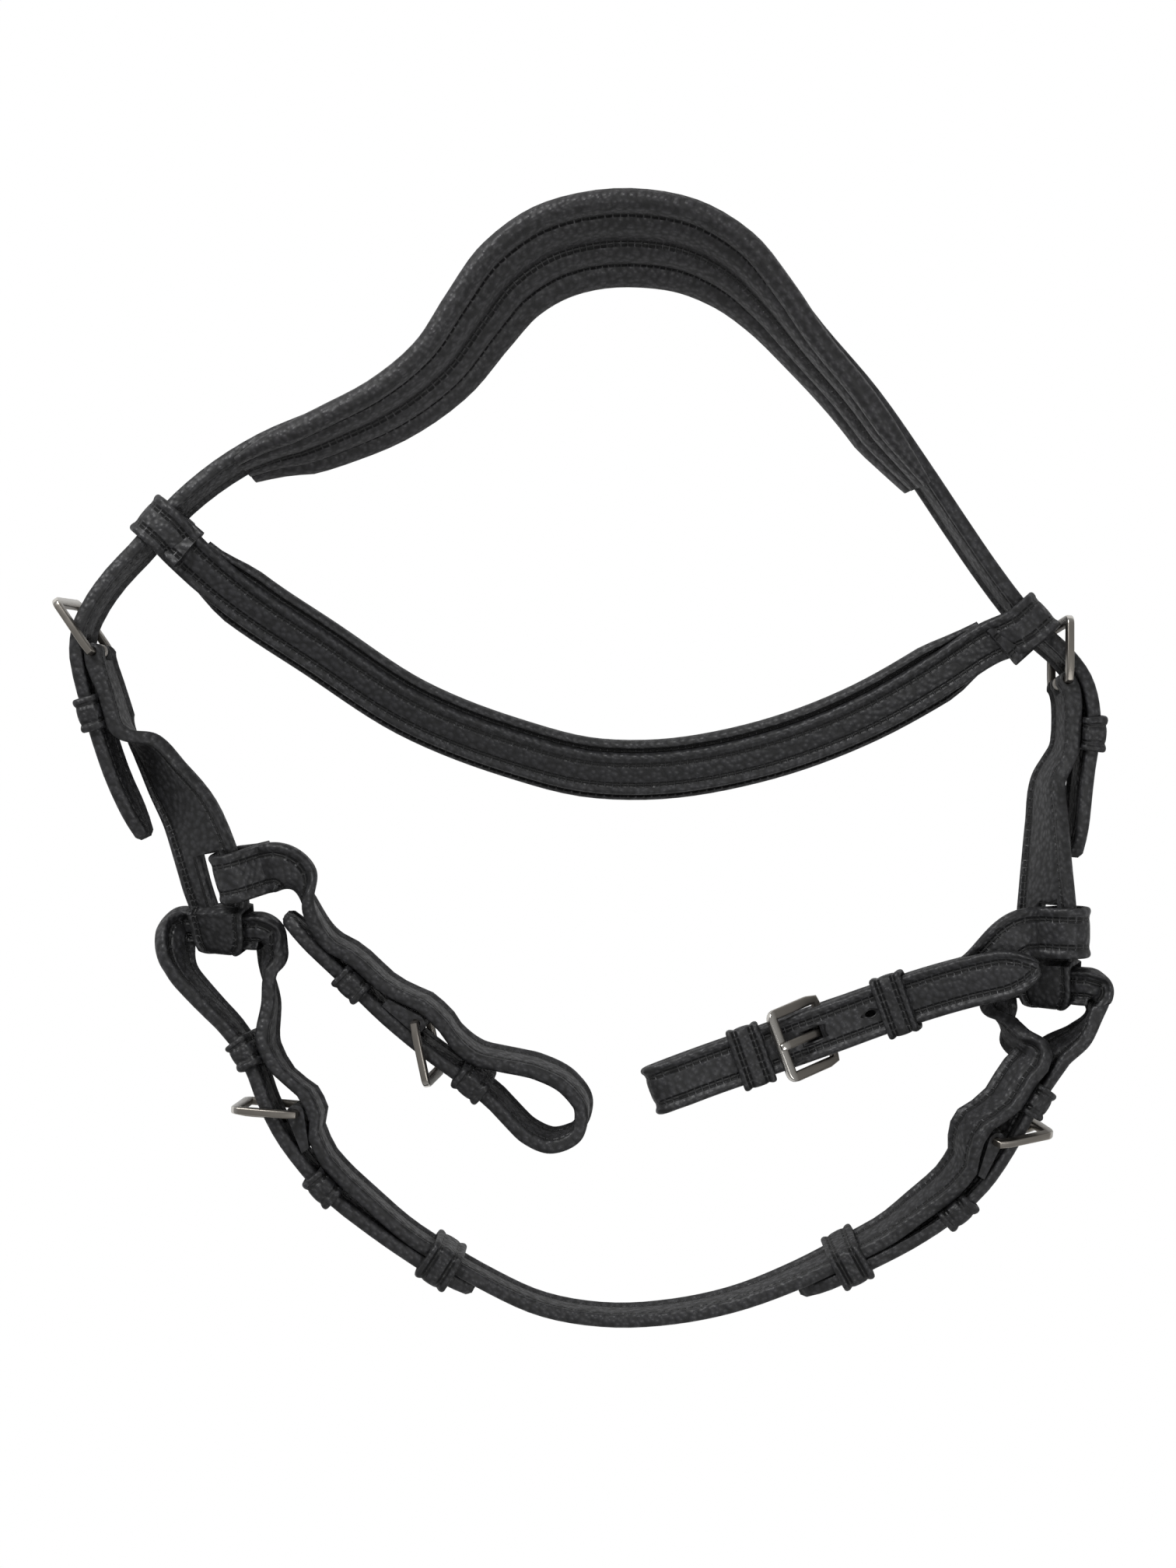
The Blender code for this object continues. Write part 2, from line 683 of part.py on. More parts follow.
leather = material("pebbled_synthetic_leather", (0.021, 0.021, 0.022), 0.62)
lining = material("padded_synthetic_lining", (0.024, 0.024, 0.026), 0.55)
steel = material("brushed_steel", (0.56, 0.54, 0.51), 0.3, 1.0)

head = Route(leaning(HEADPIECE_SHARES, -1))
nose = Route(leaning(NOSEBAND_SHARES, -1))


def build_cheek(side, values, billet_way):
    """A cheek buckle with its tab and keeper. billet_way is the way along the headpiece to the tip."""
    heel_s = values["heel_share"] * head.length
    turned = buckle(side + "_cheek", head, heel_s, -billet_way, CHEEK_FRAME_LEAN, CHEEK_SLACK, steel)
    keeper_s = heel_s + billet_way * CHEEK_KEEPER_STEP
    keeper(side + "_cheek_keeper", head, keeper_s, leather, -HALF_THICKNESS, HALF_THICKNESS)
    half = TAB_THICKNESS / 2
    under_keeper = UNDER_KEEPER + HALF_THICKNESS - half
    far = KEEPER_WIDTH / 2 + KEEPER_PLAY
    fold_s, held_s = heel_s + billet_way * FOLD_RADIUS, keeper_s - billet_way * far
    dips = [(fold_s, -HEEL_DEPTH - CHEEK_SLACK), (held_s, under_keeper)]
    tops = []
    under = [CHEEK_KEEPER_STEP - far, CHEEK_KEEPER_STEP, CHEEK_KEEPER_STEP + far]
    for along in [-FOLD_RADIUS, 0, FOLD_RADIUS, 2 * FOLD_RADIUS] + under:
        s = heel_s + billet_way * along
        tops.append((head.place(s, profile(dips, s)), head.frame(s)[3]))
    tab = Route(tops + leaning(values["tab"], -1), front=-1 if side == "left" else 1)

    end = tab.length
    tunnel_s = end - TAB_HEM - TUNNEL_HALF
    slot_s = tunnel_s - TUNNEL_HALF - TAB_HEM - HALF_WIDTH - GAP
    rows = []
    for angle in (80, 50, 20):
        reach = FOLD_RADIUS * math.cos(math.radians(angle))
        s = FOLD_RADIUS * (1 - math.sin(math.radians(angle)))
        rows.append(section(tab, s, 0, 0, HALF_WIDTH, reach + GAP))
    widen = [
        (FOLD_RADIUS, HALF_WIDTH),
        (slot_s - STRAP_WIDTH, TAB_WIDTH / 2),
        (slot_s, TAB_WIDTH / 2),
        (tunnel_s, TAB_FOOT_WIDTH / 2),
    ]
    thicken = [
        (2 * FOLD_RADIUS, FOLD_RADIUS),
        (FOLD_RADIUS + CHEEK_KEEPER_STEP - far, half),
        (slot_s + HALF_WIDTH + LOOP_CLEARANCE, half),
        (tunnel_s - TUNNEL_HALF, TUNNEL_DEPTH / 2 + TAB_LAYER),
        (tunnel_s + TUNNEL_HALF, TUNNEL_DEPTH / 2 + TAB_LAYER),
    ]
    last = end - TAB_HEM
    marks = keeper_marks(FOLD_RADIUS + CHEEK_KEEPER_STEP)
    marks += [2 * FOLD_RADIUS, slot_s + HALF_WIDTH + LOOP_CLEARANCE, tunnel_s - TUNNEL_HALF]
    for s in tab.stops(FOLD_RADIUS, last, marks):
        rows.append(section(tab, s, 0, 0, profile(widen, s), profile(thicken, s)))
    foot = (TAB_FOOT_WIDTH / 2, profile(thicken, last))
    for along, wide, thick in ((0.5, 0.84, 0.8), (1, 0.55, 0.45)):
        rows.append(section(tab, last + along * TAB_HEM, 0, 0, wide * foot[0], thick * foot[1]))
    solid = loft(side + "_cheek_tab", rows, leather)
    bore_for_heel(side + "_cheek_tab", solid, turned)
    tongue_slot(side + "_cheek_tab", solid, turned, CHEEK_FRAME_LEAN)
    rail_inner = TAB_WIDTH / 2 - TAB_RAIL
    reach = HALF_WIDTH + 2 * GAP
    slot = [(slot_s - reach, rail_inner - SLOT_WIDTH), (slot_s + reach, rail_inner - SLOT_WIDTH)]
    slot += [(slot_s + reach, rail_inner), (slot_s - reach, rail_inner)]
    at_slot = flat(tab, slot_s)
    cut(solid, prism(side + "_tab_slot", slot, -STRAP_WIDTH / 2, STRAP_WIDTH / 2,
                     lambda a, b, c: at_slot(a, c, b), group=cutters))
    _, along, out, _ = tab.frame(tunnel_s)
    tunnel = []
    for share, flare in ((-1, TUNNEL_FLARE), (-0.3, 0), (0.3, 0), (1, TUNNEL_FLARE)):
        half_along, half_out = (TUNNEL_HALF + flare) * along, (TUNNEL_DEPTH / 2 + flare) * out
        tunnel.append((tab.place(tunnel_s, 0, share * TAB_WIDTH), half_along, half_out))
    cut(solid, loft(side + "_tab_tunnel", tunnel, None, SQUARE_SHARES, group=cutters))
    return tab, slot_s, tunnel_s, turned


cheeks = {
    "left": build_cheek("left", SIDES["left"], -1),
    "right": build_cheek("right", SIDES["right"], 1),
}


def headpiece_stops():
    marks = []
    for side, way in (("left", -1), ("right", 1)):
        marks += keeper_marks(SIDES[side]["heel_share"] * head.length + way * CHEEK_KEEPER_STEP)
    marks += [CROWN_START_SHARE * head.length, CROWN_END_SHARE * head.length]
    return head.stops(TIP_LENGTH, head.length - TIP_LENGTH, marks)


def build_headpiece():
    """The headpiece strap, pointed and with a tongue hole at both ends."""
    rows = tip_sections(head, 0, 1, 0)
    rows += [section(head, s) for s in headpiece_stops()]
    rows += tip_sections(head, head.length, -1, 0)[::-1]
    solid = loft("headpiece_strap", rows, leather)
    for side in ("left", "right"):
        tongue_hole("headpiece_" + side, solid, cheeks[side][3])


def build_crown_pad():
    """The pad inside the headpiece: widest over the poll, drawn in at both ends."""
    start, end = CROWN_START_SHARE * head.length, CROWN_END_SHARE * head.length
    rows = []
    for s in headpiece_stops():
        if not start <= s <= end:
            continue
        along = (s - start) / (end - start)
        rounded = min(1, PAD_END_SHARE + min(along, 1 - along) / PAD_ROUNDING_SHARE)
        swell = math.sin(math.pi * along) ** 0.7
        wide = (CROWN_PAD_END_WIDTH + (CROWN_PAD_WIDTH - CROWN_PAD_END_WIDTH) * swell) / 2
        thick = CROWN_PAD_THICKNESS / 2 * rounded
        wide *= 0.8 + 0.2 * rounded
        middle, across, out = section(head, s, -(HALF_THICKNESS + GAP + thick), 0, wide, thick)
        rows.append((middle, across, -out))
    loft("crown_pad", rows, lining, CROWN_SECTION_SHARES)


def loop_round_headpiece(s, way):
    """Sections of a browband loop round the headpiece strap, from its turned end over to the browband."""
    _, tangent, normal, width = head.frame(s)
    half = SKIVED_THICKNESS / 2
    across = HALF_THICKNESS + LOOP_PLAY + half
    high = HALF_WIDTH + LOOP_PLAY + half
    under = high - BAND_THICKNESS / 2 - GAP - half
    path = [(across + STRAP_WIDTH * 0.6, under - GAP), (across + STRAP_WIDTH * 0.2, under - GAP)]
    path += [(across, under - across), (across, across - high)]
    path += arc((0, across - high), across, -30, -180, 5)
    path += [(-across, high - across)] + arc((0, high - across), across, 150, 90, 2)
    path += [(across, high)]
    points = np.array(path)
    ways = unit(np.gradient(points, axis=0))
    rows = []
    for (x, y), (a, b) in zip(points, ways):
        out = half * (b * normal + a * width)
        rows.append((head.place(s) - x * normal + y * width, way * BAND_WIDTH / 2 * tangent, out))
    return rows


def build_browband():
    """The browband strap with both its end loops, and the padded backing under it."""
    left = loop_round_headpiece(BAND_LEFT_SHARE * head.length, 1)
    right_s = SIDES["right"]["heel_share"] * head.length - BAND_TO_BUCKLE
    right = loop_round_headpiece(right_s, -1)[::-1]
    run = [(row[0], unit(row[1])) for row in (left[-2], left[-1])]
    run += leaning(BROWBAND_SHARES, 1)
    run += [(row[0], unit(row[1])) for row in (right[0], right[1])]
    line = Route(run, front=-1)
    first = STRAP_WIDTH * 0.45
    stops = line.stops(first, line.length - first)
    middle = [section(line, s, 0, 0, BAND_WIDTH / 2, BAND_THICKNESS / 2) for s in stops]
    loft("browband_strap", left + middle + right, leather)
    half = BAND_PAD_THICKNESS / 2
    rows = []
    start = first + STRAP_WIDTH * 0.7
    for s in line.stops(start, line.length - start):
        along = min(s - start, line.length - start - s)
        rounded = 0.55 + 0.45 * step(along / BAND_PAD_WIDTH)
        depth = -(BAND_THICKNESS / 2 + GAP + half * BAND_FLAT_SHARE)
        rows.append(section(line, s, depth, 0, BAND_PAD_WIDTH / 2, half * rounded))
    loft("browband_pad", rows, lining, BAND_SECTION_SHARES)


def build_noseband():
    """The noseband strap, through both tabs, with its buckles, chapes, keepers and runners."""
    base_marks = []
    held = []
    made = {}
    for side, way, start in (("left", -1, nose.length), ("right", 1, 0)):
        heel_s = start + way * SIDES[side]["nose_heel_share"] * nose.length
        upper = heel_s - way * SIDES[side]["nose_upper_share"] * NOSE_UPPER_STEP
        lower = heel_s + way * NOSE_LOWER_STEP
        runner = start + way * SIDES[side]["nose_runner_share"] * nose.length
        tip = start + way * SIDES[side]["nose_tip_share"] * nose.length
        turned = buckle(side + "_noseband", nose, heel_s, -way, NOSE_FRAME_LEAN, NOSE_SLACK, steel)
        solid = chape(side + "_noseband_chape", nose, heel_s, -way, NOSE_SLACK, leather)
        bore_for_heel(side + "_noseband_chape", solid, turned)
        tongue_slot(side + "_noseband_chape", solid, turned, NOSE_FRAME_LEAN)
        for name, s in (("_upper_keeper", upper), ("_lower_keeper", lower)):
            keeper(side + "_noseband" + name, nose, s, leather, -HALF_THICKNESS, HALF_THICKNESS)
        under, over = TIGHT - HALF_THICKNESS, HALF_THICKNESS
        keeper(side + "_noseband_runner", nose, runner, leather, under, over, RUNNER_PLAY)
        ends = [(start, TIGHT), (runner - way * KEEPER_WIDTH, TIGHT)]
        base_marks += depth_marks(heel_s, -way, NOSE_SLACK, (upper, lower), ends)
        made[side] = (turned, tip)
        held += [upper, lower, runner]
    stops_marks = [s for s, _ in base_marks]
    for s in held:
        stops_marks += keeper_marks(s)
    rows = tip_sections(nose, made["left"][1], 1, 0)
    rows += [section(nose, s) for s in nose.stops(made["left"][1] + TIP_LENGTH, nose.length, stops_marks)]
    rows += tab_loop("left", nose.length, 1, base_marks)
    left_lead, right_lead = (SIDES[side]["nose_lead_share"] * NOSE_LEAD for side in ("left", "right"))
    for s in nose.stops(nose.length - left_lead, right_lead, stops_marks):
        middle, across, out = section(nose, s, profile(base_marks, s))
        rows.append((middle, across, -out))
    rows += tab_loop("right", 0, -1, base_marks)
    rows += [section(nose, s) for s in nose.stops(0, made["right"][1] - TIP_LENGTH, stops_marks)]
    rows += tip_sections(nose, made["right"][1], -1, 0)[::-1]
    solid = loft("noseband_strap", rows, leather)
    for side in made:
        tongue_hole("noseband_" + side, solid, made[side][0])


def tab_loop(side, end_s, way, base_marks):
    """The noseband's loop through a cheek tab: up one strand, through the tunnel and down the other."""
    tab, _, tunnel_s, _ = cheeks[side]
    values = SIDES[side]
    width = nose.frame(end_s)[3]
    billet = [(nose.place(end_s - way * back), width) for back in (2 * STRAP_THICKNESS, 0)]
    base = []
    lead = values["nose_lead_share"] * NOSE_LEAD
    for back in (lead + 2 * STRAP_THICKNESS, lead):
        s = end_s - way * back
        base.append((nose.place(s, profile(base_marks, s)), nose.frame(s)[3]))
    before, after = (billet, base) if way > 0 else (base, billet)
    along = tab.frame(tunnel_s)[1]
    reach = TAB_FOOT_WIDTH / 2 + TAB_HEM / 2
    straight = [(tab.place(tunnel_s, 0, share * reach), -along) for share in (-1.35, -1, -0.8, 0.8, 1, 1.35)]
    rows = []
    for stations, shrink in (
        (before + leaning(values["strand_to_tab"], -1) + straight[:3], 1),
        (straight[3:] + leaning(values["strand_from_tab"], -1) + after[::-1], -1),
    ):
        line = Route(stations)
        begin, finish = (line.near(stations[i][0]) for i in (1, -2))
        tight_s = finish if shrink > 0 else begin
        for s in line.stops(begin, finish)[1 if shrink > 0 else 0:][:-1 if shrink < 0 else None]:
            near = step(1 - (abs(s - tight_s) - 2 * TAB_HEM) / STRAP_WIDTH)
            wide = HALF_WIDTH + (SQUEEZED_HALF_WIDTH - HALF_WIDTH) * near
            thick = HALF_THICKNESS + (SQUEEZED_HALF_THICKNESS - HALF_THICKNESS) * near
            rows.append(section(line, s, 0, 0, wide, thick))
    return rows


def build_bit_strap(side, values):
    """A bit strap: sewn round the tab's rail, out to the bit loop and back as a billet over itself."""
    tab, slot_s, _, _ = cheeks[side]
    out = 1 if side == "left" else -1
    route = Route(leaning(values["bit"], 1), front=-1)
    heel_s = values["bit_heel_share"] * route.length
    loop_keeper = heel_s + BIT_LOOP_KEEPER_STEP
    tip_keeper = heel_s - BIT_TIP_KEEPER_STEP
    turned = buckle(side + "_bit", route, heel_s, 1, BIT_FRAME_LEAN, BIT_SLACK, steel)
    solid = chape(side + "_bit_chape", route, heel_s, 1, BIT_SLACK, leather)
    bore_for_heel(side + "_bit_chape", solid, turned)
    tongue_slot(side + "_bit_chape", solid, turned, BIT_FRAME_LEAN)
    for name, s in (("_bit_lower_keeper", loop_keeper), ("_bit_upper_keeper", tip_keeper)):
        keeper(side + name, route, s, leather, -HALF_THICKNESS, HALF_THICKNESS)
    merge_s = values["bit_merge_share"] * route.length
    base_end = values["bit_base_share"] * route.length
    marks = depth_marks(heel_s, 1, BIT_SLACK, (loop_keeper, tip_keeper), [(merge_s, TIGHT)])

    _, tangent, normal, width = tab.frame(slot_s)
    rail = tab.place(slot_s, 0, TAB_WIDTH / 2 - TAB_RAIL / 2)
    lean = math.radians(values["bit_leaves_at"])
    up = normal * (1 if side == "left" else -1)
    away = math.cos(lean) * out * width + math.sin(lean) * up
    lift = math.cos(lean) * up - math.sin(lean) * out * width
    across = -out * tangent
    skived = SKIVED_THICKNESS / 2
    radius = math.hypot(TAB_RAIL, TAB_THICKNESS) / 2 + LOOP_CLEARANCE + skived
    join = JOIN_SHARE * radius
    touch = math.degrees(math.acos(radius / join))
    path = [(join + HALF_WIDTH / 2, -skived - GAP / 2), (join, -skived - GAP / 2)]
    path += arc((0, 0), radius, -touch, touch - 360, 9)
    path += [(join, skived + GAP / 2)]
    points = np.array(path)
    ways = unit(np.gradient(points, axis=0))
    rows = []
    for (x, y), (a, b) in zip(points, ways):
        rows.append((rail + x * away + y * lift, HALF_WIDTH * across, skived * (a * lift - b * away)))
    start = rail + join * away + (skived + GAP / 2) * lift
    ahead = rail + (join + HALF_WIDTH / 2) * away + (HALF_THICKNESS + GAP / 2) * lift
    base = [(route.place(s, profile(marks, s)), route.frame(s)[3]) for s in (merge_s, merge_s + HALF_WIDTH)]
    line = Route([(start, across), (ahead, across)] + base, front=-1)
    joined = line.near(base[0][0])
    for s in line.stops(0, joined)[1:-1]:
        thick = skived + (HALF_THICKNESS - skived) * step(s / HALF_WIDTH)
        rows.append(section(line, s, 0, 0, HALF_WIDTH, thick))
    stop_marks = [s for s, _ in marks] + keeper_marks(loop_keeper) + keeper_marks(tip_keeper)
    for s in route.stops(merge_s, base_end, stop_marks):
        rows.append(section(route, s, profile(marks, s)))
    end_width = route.frame(route.length)[3]
    back = route.length - HALF_WIDTH
    before = base_end - KEEPER_WIDTH / 2
    turn = [(route.place(s, profile(marks, s)), route.frame(s)[3]) for s in (before, base_end)]
    turn += [(spot(*row), end_width) for row in values["bit_loop"]]
    turn += [(route.place(s), end_width) for s in (route.length, back)]
    line = Route(turn, front=-1)
    ends = [line.near(turn[i][0]) for i in (1, -2)]
    for s in line.stops(*ends)[1:-1]:
        rows.append(section(line, s))
    for s in route.stops(route.length, TIP_LENGTH, stop_marks):
        middle, over, out_face = section(route, s)
        rows.append((middle, over, -out_face))
    rows += [(middle, over, -face) for middle, over, face in tip_sections(route, 0, 1, 0)[::-1]]
    solid = loft(side + "_bit_strap", rows, leather)
    tongue_hole(side + "_bit", solid, turned)


build_headpiece()
build_crown_pad()
build_browband()
build_noseband()
build_bit_strap("left", SIDES["left"])
build_bit_strap("right", SIDES["right"])
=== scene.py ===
"""A padded synthetic bridle laid out on a white table, with its straps on edge and each buckle done up."""

import math

import bmesh
import bpy
import numpy as np
from mathutils import Matrix


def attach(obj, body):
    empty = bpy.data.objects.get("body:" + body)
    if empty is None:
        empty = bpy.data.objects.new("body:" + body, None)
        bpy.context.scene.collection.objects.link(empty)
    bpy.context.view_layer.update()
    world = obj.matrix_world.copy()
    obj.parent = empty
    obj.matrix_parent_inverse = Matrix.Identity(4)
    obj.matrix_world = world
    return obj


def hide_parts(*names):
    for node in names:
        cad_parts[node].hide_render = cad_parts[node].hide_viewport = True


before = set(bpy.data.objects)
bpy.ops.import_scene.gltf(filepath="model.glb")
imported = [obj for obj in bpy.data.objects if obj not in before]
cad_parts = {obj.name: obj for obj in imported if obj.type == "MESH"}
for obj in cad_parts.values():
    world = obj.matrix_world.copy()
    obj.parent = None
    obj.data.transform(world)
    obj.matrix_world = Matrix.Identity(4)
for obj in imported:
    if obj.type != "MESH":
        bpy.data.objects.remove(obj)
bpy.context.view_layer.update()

# The table, light and camera. The bridle lies on a seamless white sheet and is
# photographed from straight above, about an arm and a half away, in the soft
# light of a bright room.
TABLE_SIZE = 3.0
CAMERA_HEIGHT = 1.515
FRAME_HEIGHT = 0.625
SENSOR_HEIGHT = 24.0
FRAME_CENTRE = (0.0003, -0.0076)
STRAP_LEVEL = 0.015


def linear(hex_colour):
    """An sRGB hex colour as Blender's linear colour."""
    values = [int(hex_colour[i:i + 2], 16) / 255 for i in (1, 3, 5)]
    return [v / 12.92 if v <= 0.04045 else ((v + 0.055) / 1.055) ** 2.4 for v in values] + [1.0]


def add(tree, kind, sockets=(), **settings):
    """Adds a node, sets it, and links or sets each socket from {name or number: node, output or value}."""
    made = tree.nodes.new(kind)
    for key, value in settings.items():
        setattr(made, key, value)
    for socket, value in dict(sockets).items():
        if isinstance(value, bpy.types.Node):
            value = value.outputs[0]
        if isinstance(value, bpy.types.NodeSocket):
            tree.links.new(value, made.inputs[socket])
        else:
            made.inputs[socket].default_value = value
    return made


def empty_material(name):
    made = bpy.data.materials.new(name)
    made.use_nodes = True
    made.node_tree.nodes.clear()
    return made, made.node_tree


def new_object(name, mesh, look):
    data = bpy.data.meshes.new(name)
    mesh.to_mesh(data)
    mesh.free()
    made = bpy.data.objects.new(name, data)
    bpy.context.scene.collection.objects.link(made)
    if look:
        data.materials.append(look)
    return made


def white_to_camera(tree, lit, white, end):
    """Shows the white shader to the camera and the lit one to everything else."""
    seen = add(tree, "ShaderNodeLightPath").outputs["Is Camera Ray"]
    both = add(tree, "ShaderNodeMixShader", {0: seen, 1: lit, 2: white})
    add(tree, end, {"Surface": both})


# Matt white card: plain white to the camera, and a white surface for the light round the bridle
card, tree = empty_material("matt_white_card")
diffuse = add(tree, "ShaderNodeBsdfDiffuse", {"Color": linear("#f4f4f4")})
plain = add(tree, "ShaderNodeEmission", {"Color": linear("#ffffff"), "Strength": 1.0})
white_to_camera(tree, diffuse, plain, "ShaderNodeOutputMaterial")
mesh = bmesh.new()
bmesh.ops.create_grid(mesh, x_segments=1, y_segments=1, size=TABLE_SIZE / 2)
new_object("table_top", mesh, card)

# The room gives a dim even light, and shows plain white to the camera like the card
world = bpy.data.worlds.new("bright_room")
world.use_nodes = True
world.node_tree.nodes.clear()
room = add(world.node_tree, "ShaderNodeBackground", {"Color": linear("#ffffff"), "Strength": 0.34})
shown = add(world.node_tree, "ShaderNodeBackground", {"Color": linear("#ffffff"), "Strength": 1.0})
white_to_camera(world.node_tree, room, shown, "ShaderNodeOutputWorld")
bpy.context.scene.world = world


def soft_lamp(name, place, size, power):
    """A square lamp that points at the middle of the bridle."""
    lamp = bpy.data.lights.new(name, "AREA")
    lamp.size = size
    lamp.energy = power
    made = bpy.data.objects.new(name, lamp)
    there = Matrix.Translation(place)
    made.matrix_world = there @ (-there.translation).to_track_quat("-Z", "Y").to_matrix().to_4x4()
    bpy.context.scene.collection.objects.link(made)


soft_lamp("window", (-1.0, 1.5, 1.3), 0.9, 34)
soft_lamp("ceiling", (0.9, -0.7, 1.8), 1.2, 12)

lens = bpy.data.cameras.new("overhead_camera")
lens.sensor_fit = "VERTICAL"
lens.sensor_height = SENSOR_HEIGHT
lens.lens = SENSOR_HEIGHT * (CAMERA_HEIGHT - STRAP_LEVEL) / FRAME_HEIGHT
camera = bpy.data.objects.new("overhead_camera", lens)
camera.location = (*FRAME_CENTRE, CAMERA_HEIGHT)
bpy.context.scene.collection.objects.link(camera)
bpy.context.scene.camera = camera
bpy.context.scene.view_settings.view_transform = "Standard"

# The headpiece. One long strap of pebbled synthetic leather, its edges turned over
# a cord so that they stand up as a rolled ridge, and sewn down inside each ridge.
# It goes from one cheek billet over the poll to the other, and stands on edge.
LAID_WIDTH = 0.412
LAID_LENGTH = 0.448
STRAP_WIDTH = 0.020
STRAP_THICKNESS = 0.0055
TIP_LENGTH = 0.016
GAP = 0.0003
HALF_WIDTH = STRAP_WIDTH / 2
HALF_THICKNESS = STRAP_THICKNESS / 2
BEND_STEP = 4
TWIST_STEP = 3
LONGEST_STEP = 0.006
# What the first three columns of a table of stations are shares of. The fourth is the lean from upright.
STATION_UNITS = (LAID_WIDTH, LAID_LENGTH, STRAP_WIDTH)
HEADPIECE_SHARES = (
    (-0.427, -0.065, 0.65, 12), (-0.44, -0.039, 0.68, 12), (-0.454, -0.01, 0.72, 12),
    (-0.465, 0.02, 0.78, 12), (-0.473, 0.045, 0.83, 12), (-0.483, 0.077, 0.87, 12),
    (-0.487, 0.099, 0.88, 12), (-0.485, 0.119, 0.87, 12), (-0.475, 0.14, 0.84, 12), (-0.458, 0.163, 0.8, 12),
    (-0.43, 0.191, 0.77, 12), (-0.397, 0.226, 0.77, 13), (-0.352, 0.26, 0.78, 16), (-0.308, 0.283, 0.85, 19),
    (-0.252, 0.303, 0.96, 23), (-0.195, 0.327, 1.04, 25), (-0.147, 0.361, 1.1, 27), (-0.115, 0.4, 1.14, 30),
    (-0.082, 0.437, 1.16, 33), (-0.041, 0.462, 1.17, 35), (0.004, 0.474, 1.17, 35), (0.052, 0.476, 1.17, 35),
    (0.102, 0.468, 1.18, 33), (0.147, 0.447, 1.19, 28), (0.184, 0.416, 1.18, 20), (0.22, 0.378, 1.12, 14),
    (0.266, 0.33, 1.02, 13), (0.32, 0.261, 0.88, 13), (0.357, 0.211, 0.77, 13), (0.386, 0.172, 0.77, 13),
    (0.412, 0.14, 0.79, 13), (0.437, 0.114, 0.82, 13), (0.459, 0.095, 0.86, 12), (0.475, 0.074, 0.88, 12),
    (0.482, 0.05, 0.87, 12), (0.482, 0.024, 0.82, 12), (0.478, -0.004, 0.77, 12), (0.474, -0.043, 0.68, 12),
    (0.47, -0.082, 0.65, 12),
)


def unit(vector):
    return vector / np.linalg.norm(vector, axis=-1, keepdims=True)


def lengths(points):
    """How far along the line through the points each one is."""
    return np.append(0, np.cumsum(np.linalg.norm(np.diff(points, axis=0), axis=1)))


def through(times, values, wanted):
    """A smooth curve through values at times, read at the wanted times."""
    slopes = np.gradient(values, times, axis=0)
    after = np.clip(np.searchsorted(times, wanted, side="right"), 1, len(times) - 1)
    step = (times[after] - times[after - 1])[:, None]
    t = (wanted - times[after - 1])[:, None] / step
    start, end = values[after - 1], values[after]
    lean_in, lean_out = slopes[after - 1] * step, slopes[after] * step
    bend = t * t * (3 - 2 * t)
    return start + (end - start) * bend + lean_in * t * (1 - t) ** 2 - lean_out * t * t * (1 - t)


class Route:
    """A line through stations. Each station is a place and the direction of the strap's width there."""

    def __init__(self, stations, front=1):
        places = np.array([place for place, _ in stations])
        widths = np.array([width for _, width in stations])
        chord = lengths(places)
        fine = np.linspace(0, chord[-1], len(stations) * 24)
        line = through(chord, np.hstack([places, widths]), fine)
        self.front = front
        self.places = line[:, :3]
        self.s = lengths(self.places)
        self.length = self.s[-1]
        self.tangents = unit(np.gradient(self.places, self.s, axis=0))
        across = line[:, 3:]
        across = across - (across * self.tangents).sum(1, keepdims=True) * self.tangents
        self.widths = unit(across)

    def frame(self, s):
        """Place, tangent, outward normal and width direction at s, straight on past either end."""
        inside = min(max(s, 0), self.length)
        place, tangent, width = (
            np.array([np.interp(inside, self.s, column) for column in table.T])
            for table in (self.places, self.tangents, self.widths)
        )
        tangent = unit(tangent)
        width = unit(width - width @ tangent * tangent)
        normal = self.front * np.cross(width, tangent)
        return place + (s - inside) * tangent, tangent, normal, width

    def near(self, place):
        """The s whose place is nearest to the one given."""
        return self.s[np.argmin(np.linalg.norm(self.places - place, axis=1))]

    def place(self, s, n=0.0, w=0.0):
        place, _, normal, width = self.frame(s)
        return place + n * normal + w * width

    def station(self, s, n=0.0):
        return self.place(s, n), self.frame(s)[3]

    def stops(self, start, end, marks=()):
        """Places for sections: closer where the strap bends or twists, and at each mark."""
        first, last = sorted((start, end))
        marks = sorted(mark for mark in marks if first + 2 * GAP < mark < last - 2 * GAP)
        marks = [mark for mark, before in zip(marks, [first] + marks) if mark - before > GAP]
        found = [first]
        for s in np.linspace(first, last, 400)[1:-1]:
            _, tangent, _, width = self.frame(s)
            _, old_tangent, _, old_width = self.frame(found[-1])
            bent = math.degrees(math.acos(min(1, tangent @ old_tangent)))
            twisted = math.degrees(abs(np.cross(old_width, width) @ tangent))
            if marks and s >= marks[0]:
                found.append(marks.pop(0))
            elif bent > BEND_STEP or twisted > TWIST_STEP or s - found[-1] > LONGEST_STEP:
                found.append(s)
        found += marks + [last]
        return found if end >= start else found[::-1]


def leaning(rows, side):
    """Stations from rows of shares, each leaning out from upright towards one side of the line."""
    places = np.array(rows)[:, :3] * STATION_UNITS
    tangents = unit(np.gradient(places, axis=0))
    stations = []
    for place, tangent, row in zip(places, tangents, rows):
        right = unit(np.cross(tangent, (0, 0, 1)))
        lean = math.radians(row[3])
        stations.append((place, math.cos(lean) * np.cross(right, tangent) + math.sin(lean) * side * right))
    return stations


def section(route, s, n=0.0, half_width=HALF_WIDTH, half_thickness=HALF_THICKNESS):
    """One section of a loft: its middle, half width and half thickness as vectors, and how far along it is.
    A negative half thickness turns the face over."""
    _, _, normal, width = route.frame(s)
    return route.place(s, n), half_width * width, half_thickness * normal, s


